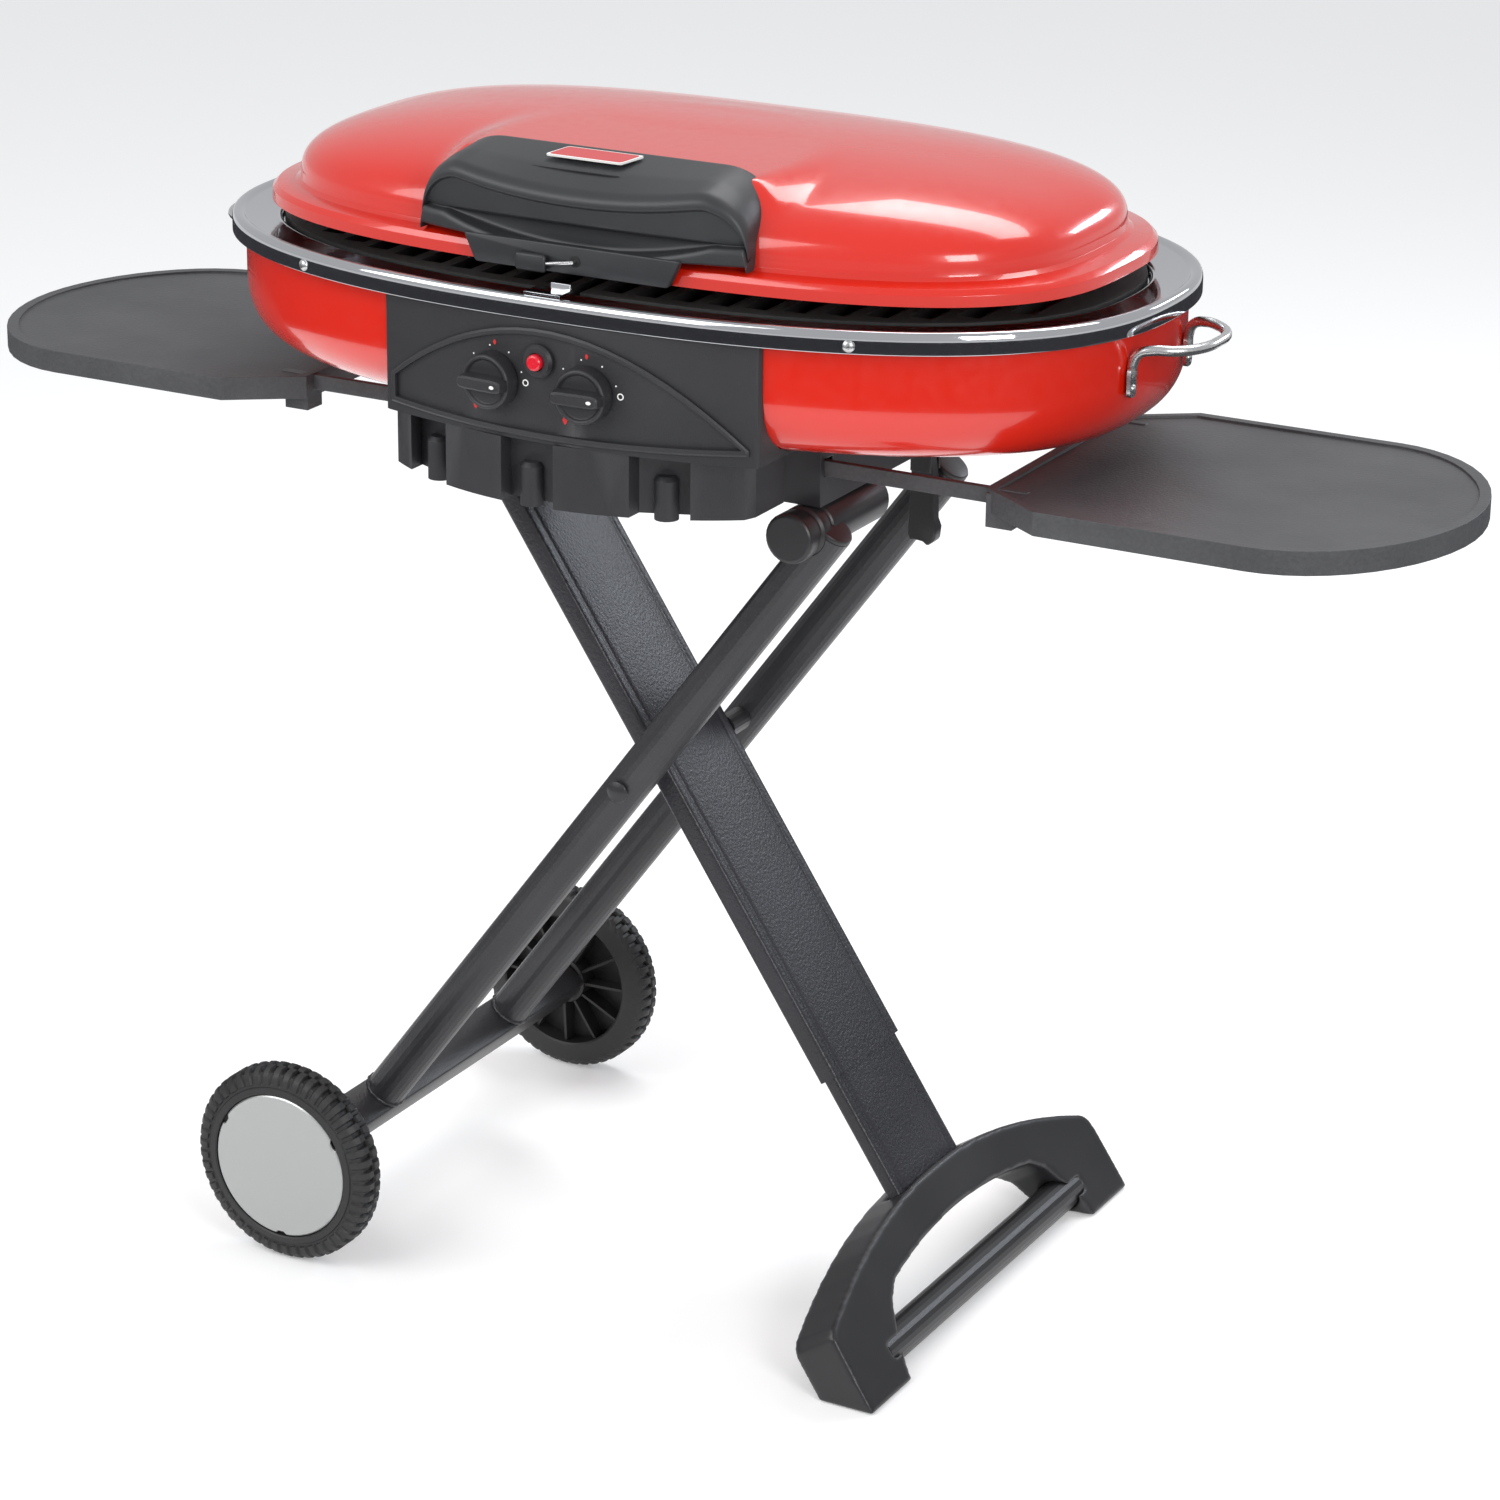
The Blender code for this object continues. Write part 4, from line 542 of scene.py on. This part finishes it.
# ---- lid handle ---------------------------------------------------------------------------------
# The handle is one thick moulding in dark grained plastic: a sloping top, a soft overhanging
# brow, a finger slot under the grip wall, and a tab that hangs in front of the lip.
handle_low, handle_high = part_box("lid_handle")
HANDLE_HALF = (handle_high.x - handle_low.x) / 2
HANDLE_CREST, HANDLE_FOOT = 0.8490, 0.7925
TAB_TOP = 0.7945
tab_y = handle_low.y
brow_y = tab_y + 0.0023
handle_plastic = coated("handle_plastic", (0.018, 0.019, 0.021), (0.027, 0.028, 0.031), 0.42,
                        1500, 0.00012)
# Near-black painted shade: this finish stands for the shade down in the groove on the handle top
# and in the hole where the latch wire passes.
painted_hollow_shade = coated("painted_hollow_shade", (0.006, 0.006, 0.007), (0.010, 0.010, 0.011), 0.6, 1500,
                      0.00005)


def handle_section(x):
    """Side view of the handle at one station: a closed chain of (y, z) points."""
    reach = min(abs(x) / HANDLE_HALF, 1.0)
    drop = 1 - (1 - min(max(reach - 0.66, 0.0) / 0.34, 1.0) ** 2.4) ** (1 / 2.4)
    bow = 0.0130 * reach ** 4
    crest = HANDLE_CREST - 0.0500 * drop
    brow = min(0.8290 + 0.0095 * (reach / 0.77) ** 2, 0.8385) - 0.0400 * drop
    lip = max(brow - 0.0085, HANDLE_FOOT + 0.0050)
    edge = min(0.8065, lip - 0.0010)
    smile = min(0.7895 + 1.43 * x * x, edge - 0.0015)
    foot = min(HANDLE_FOOT, smile - 0.0060)
    slot = 0.0085 * max(1 - (reach / 0.86) ** 4, 0.0)
    front = brow_y + bow
    back = middle.y - 0.1230
    return [(back, crest - 0.0030), (back - 0.0040, crest),
            (back - 0.0340, (crest * 1.15 + brow) / 2.15 + 0.0008), (front + 0.0050, brow + 0.0020),
            (front, brow - 0.0030), (front + 0.0002, lip), (front + 0.0042, lip - 0.0006),
            (front + 0.0052, edge), (front + 0.0058 + slot, edge - 0.0001),
            (front + 0.0058 + slot, smile + 0.0001), (front - 0.0006, smile),
            (tab_y + bow, smile - 0.0030), (tab_y + bow + 0.0004, foot), (back, foot)]


handle_stations = [HANDLE_HALF * math.sin(math.pi / 2 * i / 48) for i in range(-48, 49)]
handle_rings = []
for x in handle_stations:
    handle_rings.append([(middle.x + x, y, z) for y, z in
                         eased(handle_section(x), 0.0035, 4, closed=True)])
skin("handle_grip", handle_rings, handle_plastic, "lid",
     replaced=("lid_handle",), angle=60)
tab_low = handle_low.z
tab_outline = eased([(-0.0750, tab_low), (0.0750, tab_low), (0.0840, TAB_TOP),
                     (-0.0840, TAB_TOP)], 0.0022, 4, closed=True)
tab_rows = []
for y, shrink in ((tab_y + 0.0058, 0.0), (tab_y + 0.0008, 0.0), (tab_y + 0.0002, 0.0006),
                  (tab_y, 0.0014)):
    tab_rows.append([(middle.x + u * (1 - shrink / 0.08), y,
                      v + shrink * (0.4 if v < 0.785 else -0.4)) for u, v in tab_outline])
skin("handle_tab", tab_rows, handle_plastic, "lid", angle=50)
# A thin near-black strip laid on the handle top is painted shade standing in for a groove; it is
# not cut in.
skin("handle_groove_painted_shade", [[(middle.x - 0.014 + u, middle.y - 0.1600 + v, z - 0.30 * v) for u, v in
                        oval(0.0370 - inset, 0.0016 - inset * 0.7, 6, 40)]
                       for inset, z in ((0.0, 0.8385), (0.0, 0.83935), (0.0007, 0.8396))],
     painted_hollow_shade, "lid")

# ---- badge --------------------------------------------------------------------------------------
# A small plain plate with slanted ends is stuck to the top of the handle: a white border round a
# red field.
badge_low, badge_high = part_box("handle_badge")
badge_middle = (badge_low + badge_high) / 2
badge_slope = Matrix.Translation(badge_middle) @ Matrix.Rotation(math.atan2(0.0062, 0.0340), 4, "X")
badge_red = surface("badge_red", (0.55, 0.018, 0.022), 0.3, Coat_Weight=0.8)
grain(badge_red, 400, 0.00002)
for name, inset, material, low, high in (("badge_border", 0.0, white_paint, -0.0008, 0.0006),
                                         ("badge_field", 0.0012, badge_red, 0.0000, 0.0009)):
    front_y, back_y = -0.0098 + inset, 0.0068 - inset
    outline = eased([(-0.0340 + inset * 2, front_y), (0.0250 - inset * 0.6, front_y),
                     (0.0340 - inset * 2, back_y), (-0.0250 + inset * 0.6, back_y)],
                    0.0022, 4, closed=True)
    skin(name, [[badge_slope @ Vector((u, v, z)) for u, v in outline] for z in (low, high)],
         material, "lid", replaced=("handle_badge",) if inset == 0 else ())

# ---- latch and catch ----------------------------------------------------------------------------
# The lid is held shut by a bent spring wire that turns in the tab. A flat plastic grip is moulded
# on its end, and it hooks over a chromed catch on the ring.
moulded("latch_grip", "latch_tab", handle_plastic, 0.0010, 3)
pivot = Vector(joints["latch_hinge"]["pos_m"])
# A small near-black disc on the front of the tab is painted shade standing in for the hole that the
# latch wire passes through.
skin("latch_hole_painted_shade", [[(pivot.x + u, tab_y + y, pivot.z + v) for u, v in oval(r, r, 2, 24)]
                   for r, y in ((0.0040, 0.0006), (0.0040, -0.0003), (0.0030, -0.0004))],
     painted_hollow_shade, "lid")
nodes["latch_wire"].data.materials[0] = steel
moulded("lid_catch", "ring_catch", chrome, 0.0006, 2)

# ---- lid hinges ---------------------------------------------------------------------------------
# Two pressed brackets in chrome stand on the back of the ring. Each carries a bright steel leaf
# that is riveted to the back of the lid.
for side in ("left", "right"):
    moulded(f"hinge_bracket_{side}", f"{side}_hinge_bracket", chrome, 0.0004, 2)
    moulded(f"hinge_leaf_{side}", f"{side}_hinge_leaf", steel, 0.0005, 2)

# ---- carry handles ------------------------------------------------------------------------------
# Each end of the bowl has a bent bright rod with flattened feet, held by two screws a foot.
ROD_RADIUS = 0.0036
for side, sign in (("left", -1), ("right", 1)):
    low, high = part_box(f"carry_handle_{side}")
    inner_x = low.x if sign > 0 else high.x
    outer_x = high.x if sign > 0 else low.x
    half = (high.y - low.y) / 2 - 0.0055
    rod_z = high.z - 0.0037
    foot_x = inner_x + sign * 0.0022
    knots = [(foot_x, half, rod_z - 0.0180), (foot_x + sign * 0.0004, half, rod_z - 0.0100),
             (foot_x + sign * 0.0040, half - 0.0005, rod_z - 0.0030),
             (foot_x + sign * 0.0130, half - 0.0025, rod_z),
             (foot_x + sign * 0.0260, half - 0.0085, rod_z),
             (outer_x - sign * 0.0072, half - 0.0240, rod_z), (outer_x - sign * 0.0037, 0, rod_z)]
    path = [(x, middle.y + y, z) for x, y, z in knots]
    path += [(x, middle.y - y, z) for x, y, z in knots[-2::-1]]
    line = bpy.data.curves.new(f"{side}_handle_line", "CURVE")
    line.dimensions = "3D"
    line.bevel_depth = ROD_RADIUS
    line.bevel_resolution = 5
    line.use_fill_caps = True
    line.resolution_u = 10
    spline = line.splines.new("BEZIER")
    spline.bezier_points.add(len(path) - 1)
    for knot, place in zip(spline.bezier_points, path):
        knot.co = place
        knot.handle_left_type = knot.handle_right_type = "AUTO"
    rod = bpy.data.objects.new(f"{side}_handle_line", line)
    bpy.context.collection.objects.link(rod)
    mesh = bpy.data.meshes.new_from_object(rod.evaluated_get(
        bpy.context.evaluated_depsgraph_get()))
    bpy.data.objects.remove(rod)
    bm = bmesh.new()
    bm.from_mesh(mesh)
    for end in (-1, 1):
        walled(bm, [[bm.verts.new((foot_x + dx, middle.y + end * half + u, rod_z - 0.0225 + v))
                     for u, v in oval(0.0052, 0.0105, 4, 40)] for dx in (-0.0014, 0.0014)])
        for dz in (-0.0270, -0.0180):
            made = bmesh.ops.create_uvsphere(bm, u_segments=20, v_segments=12, radius=0.0030)
            bmesh.ops.scale(bm, vec=(0.55, 1, 1), verts=made["verts"])
            bmesh.ops.translate(bm, vec=(foot_x + sign * 0.0014, middle.y + end * half,
                                         rod_z + dz), verts=made["verts"])
    placed(f"{side}_carry_handle", bm, steel, "chassis", (f"carry_handle_{side}",))

# ---- base box, bracket and pivot ----------------------------------------------------------------
# The box under the bowl and the leg bracket are folded steel in black powder coat. A plain bright
# pin with upset ends carries the main leg.
black_steel = coated("black_steel", (0.014, 0.014, 0.016), (0.024, 0.024, 0.027), 0.36, 1100,
                     0.00010)
moulded("base_box", "runner_box", black_steel, 0.0008, 2)
moulded("leg_bracket", "leg_clevis", black_steel, 0.0005, 2)
moulded("leg_pivot_pin", "leg_pin", steel, 0.0005, 2)

# ---- side tables --------------------------------------------------------------------------------
# Each table is a ribbed moulding in dark grey plastic, with a raised rim, a lightly pebbled top
# and two runners that slide into the box.
table_plastic = surface("table_plastic", (0.050, 0.051, 0.055), 0.55)
pebbles = grain(table_plastic, 420, 0.00030, 2.0)
tone = Socket(table_plastic).add("TexNoise", {
    "Vector": Socket(table_plastic).add("TexCoord", output="Object"), "Scale": 14.0, "Detail": 3.0})
Socket(table_plastic).add("Mix", {0: (tone * 0.6 + pebbles * 0.4).spread(0.35, 0.65, 0, 1),
                                  6: (0.040, 0.041, 0.044, 1), 7: (0.062, 0.063, 0.067, 1)},
                          2, data_type="RGBA").into("Base Color")
(pebbles * 0.18 + 0.42).into("Roughness")
for side in ("left", "right"):
    moulded(f"side_table_{side}", f"{side}_table", table_plastic, 0.0016)

# ---- main leg -----------------------------------------------------------------------------------
# The main leg is a wide flat tube with a shallow groove along each edge of its faces. A smaller
# tube slides in it and carries the foot. Both have a fine textured powder coat.
fold = joints["main_leg_fold"]
leg_top = Vector(fold["pos_m"])
leg_up = Vector(joints["lower_leg_slide"]["axis"]).normalized()
across = Vector((0, 1, 0))
leg_out = across.cross(leg_up).normalized()
leg_coat = coated("leg_coat", (0.013, 0.013, 0.016), (0.024, 0.024, 0.030), 0.36, 460, 0.00040)


def tube_section(half_y, half_t):
    """Cross-section of a flat tube: crowned faces with a groove near each edge."""
    groove = half_y - 0.0095
    crown = [((groove - 0.0030) * k / 6, half_t - 0.0017 * (k / 6) ** 2) for k in range(-6, 7)]
    face = [(-groove - 0.0030, half_t - 0.0020), (-groove, half_t - 0.0028)] + crown
    face += [(groove, half_t - 0.0028), (groove + 0.0030, half_t - 0.0020)]
    outside = face + [(half_y, half_t - 0.0022), (half_y, -half_t + 0.0022)]
    outside += [(-u, -v) for u, v in face] + [(-half_y, -half_t + 0.0022),
                                              (-half_y, half_t - 0.0022)]
    return eased(outside, 0.0030, 3, closed=True)


def flat_tube(name, start, end, half_y, half_t, wall, node):
    """A flat tube between two distances down the leg."""
    outline = tube_section(half_y, half_t)
    rings = []
    for down, inner in ((start, 0), (start + 0.0008, 0), (end - 0.0008, 0), (end, 0), (end, 1),
                        (start, 1)):
        scale_y = (half_y - wall * inner) / half_y
        scale_t = (half_t - wall * inner) / half_t
        rings.append([leg_top - leg_up * down + across * (u * scale_y) + leg_out * (v * scale_t)
                      for u, v in outline])
    skin(name, rings, leg_coat, nodes[node]["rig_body"], ends=False,
         replaced=(node,))


def down_leg(node):
    """How far down the leg a node starts and ends."""
    reach = [(leg_top - v.co).dot(leg_up) for v in nodes[node].data.vertices]
    return min(reach), max(reach)


for name, node in (("outer_leg", "main_leg_tube"), ("inner_leg", "lower_leg_tube")):
    start, end = down_leg(node)
    low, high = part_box(node)
    thick = [(v.co - leg_top).dot(leg_out) for v in nodes[node].data.vertices]
    flat_tube(name, start, end, (high.y - low.y) / 2, (max(thick) - min(thick)) / 2, 0.0018, node)

# ---- foot and grip bar --------------------------------------------------------------------------
# The foot is a thick arched moulding in satin black plastic with every edge softened. It is open
# in the middle, where a round bar makes the handle for pulling the folded grill along.
foot_plastic = coated("foot_plastic", (0.014, 0.014, 0.015), (0.022, 0.022, 0.024), 0.36, 1400,
                      0.00008)
arched_foot = moulded("foot", "arched_foot", foot_plastic, 0.0016)
arched_foot.modifiers.clear()
even_skin = arched_foot.modifiers.new("even_skin", "REMESH")
even_skin.mode = "VOXEL"
even_skin.voxel_size = 0.0017
even_skin.use_smooth_shade = True
soft_edges = arched_foot.modifiers.new("soft_edges", "SMOOTH")
soft_edges.factor = 0.5
soft_edges.iterations = 18
nodes["foot_grip"].data.materials[0] = foot_plastic

# ---- scissor joint ------------------------------------------------------------------------------
# One long domed bolt in black steel passes through both round tubes and the flat leg. A moulded
# spacer on each side keeps them apart.
moulded("scissor_bolt", "scissor_pin", black_steel, 0.0006, 2)
for side in ("front", "back"):
    nodes[f"scissor_spacer_{side}"].data.materials[0] = foot_plastic

# ---- wheel frame --------------------------------------------------------------------------------
# Two round tubes run down to a folded axle channel and are welded to it. A moulded bar on the
# top of the front tube bears on the box when the stand is open.
tube_coat = coated("tube_coat", (0.020, 0.020, 0.022), (0.034, 0.034, 0.037), 0.34, 560, 0.00026)
WELD_RADIUS = 0.0150
scissor = Vector(joints["wheel_frame_fold"]["pos_m"])
axle_at = Vector(joints["front_wheel_spin"]["pos_m"])
tube_down = (axle_at - scissor).normalized()
for side in ("front", "back"):
    nodes[f"wheel_tube_{side}"].data.materials[0] = tube_coat
    low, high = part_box(f"wheel_tube_{side}")
    tube_y = (low.y + high.y) / 2
    reach = max((v.co - scissor).dot(tube_down) for v in nodes[f"wheel_tube_{side}"].data.vertices)
    weld_middle = Vector((scissor.x, tube_y, scissor.z)) + tube_down * reach
    side_way = Vector((-tube_down.z, 0, tube_down.x))
    bm = bmesh.new()
    rows = []
    for k in range(64):
        turn = 2 * math.pi * k / 64
        out = math.cos(turn) * side_way + math.sin(turn) * across
        swell = 0.0016 + 0.0003 * math.sin(turn * 17)
        rows.append([bm.verts.new(weld_middle + out * (WELD_RADIUS + swell * math.cos(a))
                                  + tube_down * (swell * math.sin(a) - 0.0006))
                     for a in (2 * math.pi * m / 10 for m in range(10))])
    for k in range(64):
        first, second = rows[k], rows[(k + 1) % 64]
        for m in range(10):
            bm.faces.new((first[m], first[(m + 1) % 10], second[(m + 1) % 10], second[m]))
    placed(f"{side}_weld", bm, tube_coat, "wheel_frame")
    top = min((v.co - scissor).dot(tube_down) for v in nodes[f"wheel_tube_{side}"].data.vertices)
    tube_top = Vector((scissor.x, tube_y, scissor.z)) + tube_down * top
    rings = []
    for lift, r in ((0.0060, 0.0118), (-0.0004, 0.0118), (-0.0004, 0.0149), (-0.0022, 0.0149),
                    (-0.0034, 0.0140), (-0.0040, 0.0110)):
        rings.append([tube_top + tube_down * lift + (math.cos(2 * math.pi * k / 40) * side_way
                      + math.sin(2 * math.pi * k / 40) * across) * r for k in range(40)])
    skin(f"{side}_tube_plug", rings, foot_plastic, "wheel_frame")
moulded("axle_beam", "axle_channel", tube_coat, 0.0008, 2)
nodes["axle"].data.materials[0] = steel
moulded("top_roller", "top_bar", foot_plastic, 0.0008, 2)

# ---- wheels -------------------------------------------------------------------------------------
# Each wheel is one blow moulding in hard black plastic, with two rows of lugs round the tread,
# rings on the side wall and ribs inside. A thin brushed disc with three notches closes its face.
tyre_plastic = coated("wheel_rubber", (0.012, 0.012, 0.013), (0.020, 0.020, 0.021), 0.5, 800,
                      0.00012)
disc_metal = surface("silver_disc", (0.46, 0.47, 0.465), 0.34, 0.85)
grain(disc_metal, 700, 0.00004, 3.0).spread(0.3, 0.7, 0.28, 0.42).into("Roughness")
LUGS = 50
STEPS = 8                 # points round one lug and its gap
GROOVE = 0.0030
TREAD_RADIUS = 0.0725
WHEEL_SECTION = [         # radius, depth from the outer face
    (0.0562, 0.0036), (0.0564, 0.0008), (0.0574, 0.0), (0.0616, 0.0006), (0.0622, 0.0016),
    (0.0640, 0.0016), (0.0646, 0.0004), (0.0700, 0.0012), (0.0735, 0.0040), (0.0758, 0.0075),
    (0.0758, 0.0130), (0.0740, 0.0138), (0.0740, 0.0148), (0.0758, 0.0156), (0.0758, 0.0208),
    (0.0735, 0.0245), (0.0700, 0.0270), (0.0640, 0.0279), (0.0560, 0.0283), (0.0545, 0.0270),
    (0.0540, 0.0115), (0.0200, 0.0112), (0.0190, 0.0270), (0.0170, 0.0283), (0.0055, 0.0283),
    (0.0055, 0.0042), (0.0540, 0.0040)]
for side, sign in (("front", -1), ("back", 1)):
    low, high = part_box(f"wheel_{side}")
    outer_y = low.y if sign < 0 else high.y
    radius = (high.z - low.z) / 2

    def wheel_point(turn, r, depth):
        """A point on the wheel: depth is measured inwards from its outer face."""
        return (axle_at.x + r * math.cos(turn), outer_y - sign * depth,
                axle_at.z + r * math.sin(turn))

    bm = bmesh.new()
    count = LUGS * STEPS
    rows = []
    for k in range(count):
        phase = (k % STEPS) / STEPS
        cut = phase > 0.56
        ring = []
        for r, depth in WHEEL_SECTION:
            shift = 0.0
            if r > TREAD_RADIUS and cut:
                shift = GROOVE * (r - TREAD_RADIUS) / 0.0033
            stagger = 0.5 if depth > 0.0143 and r > TREAD_RADIUS else 0.0
            turn = 2 * math.pi * (k / STEPS + stagger) / LUGS - math.pi / 2
            if 0.0645 < r < 0.0705 and depth < 0.01 and cut:
                depth += 0.0016
            ring.append(bm.verts.new(wheel_point(turn, min(r, radius) - shift, depth)))
        rows.append(ring)
    for k in range(count):
        first, second = rows[k], rows[(k + 1) % count]
        for m in range(len(WHEEL_SECTION)):
            n = (m + 1) % len(WHEEL_SECTION)
            bm.faces.new((first[m], first[n], second[n], second[m]))
    placed(f"{side}_wheel_moulding", bm, tyre_plastic, f"{side}_wheel",
           (f"wheel_{side}",), 32)
    bm = bmesh.new()
    for spoke in range(12):
        turn = 2 * math.pi * spoke / 12
        corners = []
        for r, depth in ((0.0195, 0.0112), (0.0542, 0.0112), (0.0542, 0.0235), (0.0195, 0.0262)):
            for way in (-1, 1):
                corners.append(bm.verts.new(wheel_point(turn + way * 0.0011 / r, r, depth)))
        for face in ((0, 2, 4, 6), (1, 3, 5, 7), (0, 1, 3, 2), (2, 3, 5, 4), (4, 5, 7, 6),
                     (6, 7, 1, 0)):
            bm.faces.new([corners[i] for i in face])
    placed(f"{side}_wheel_ribs", bm, tyre_plastic, f"{side}_wheel")
    disc_low, disc_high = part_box(f"wheel_disc_{side}")
    disc_radius = (disc_high.z - disc_low.z) / 2
    bm = bmesh.new()
    rows = []
    for r, depth in ((disc_radius - 0.0008, 0.0034), (disc_radius, 0.0028), (disc_radius, 0.0012),
                     (disc_radius - 0.0010, 0.0004), (disc_radius - 0.0030, 0.0002),
                     (0.0300, 0.0001), (0.0120, 0.0000)):
        ring = []
        for k in range(144):
            turn = 2 * math.pi * k / 144
            notch = min(abs((k % 48) - 12), 48 - abs((k % 48) - 12)) < 2
            shift = 0.0022 if notch and r > disc_radius - 0.002 else 0.0
            ring.append(bm.verts.new(wheel_point(turn, r - shift, depth)))
        rows.append(ring)
    walled(bm, rows)
    placed(f"{side}_hub_disc", bm, disc_metal, f"{side}_wheel",
           (f"wheel_disc_{side}",), 30)

# ---- release lever ------------------------------------------------------------------------------
# A flat lever moulded in black plastic hangs from two ears of the box beside the top bar. It is
# squeezed to free the stand before folding.
moulded("leg_release_lever", "release_lever", foot_plastic, 0.0010, 3)
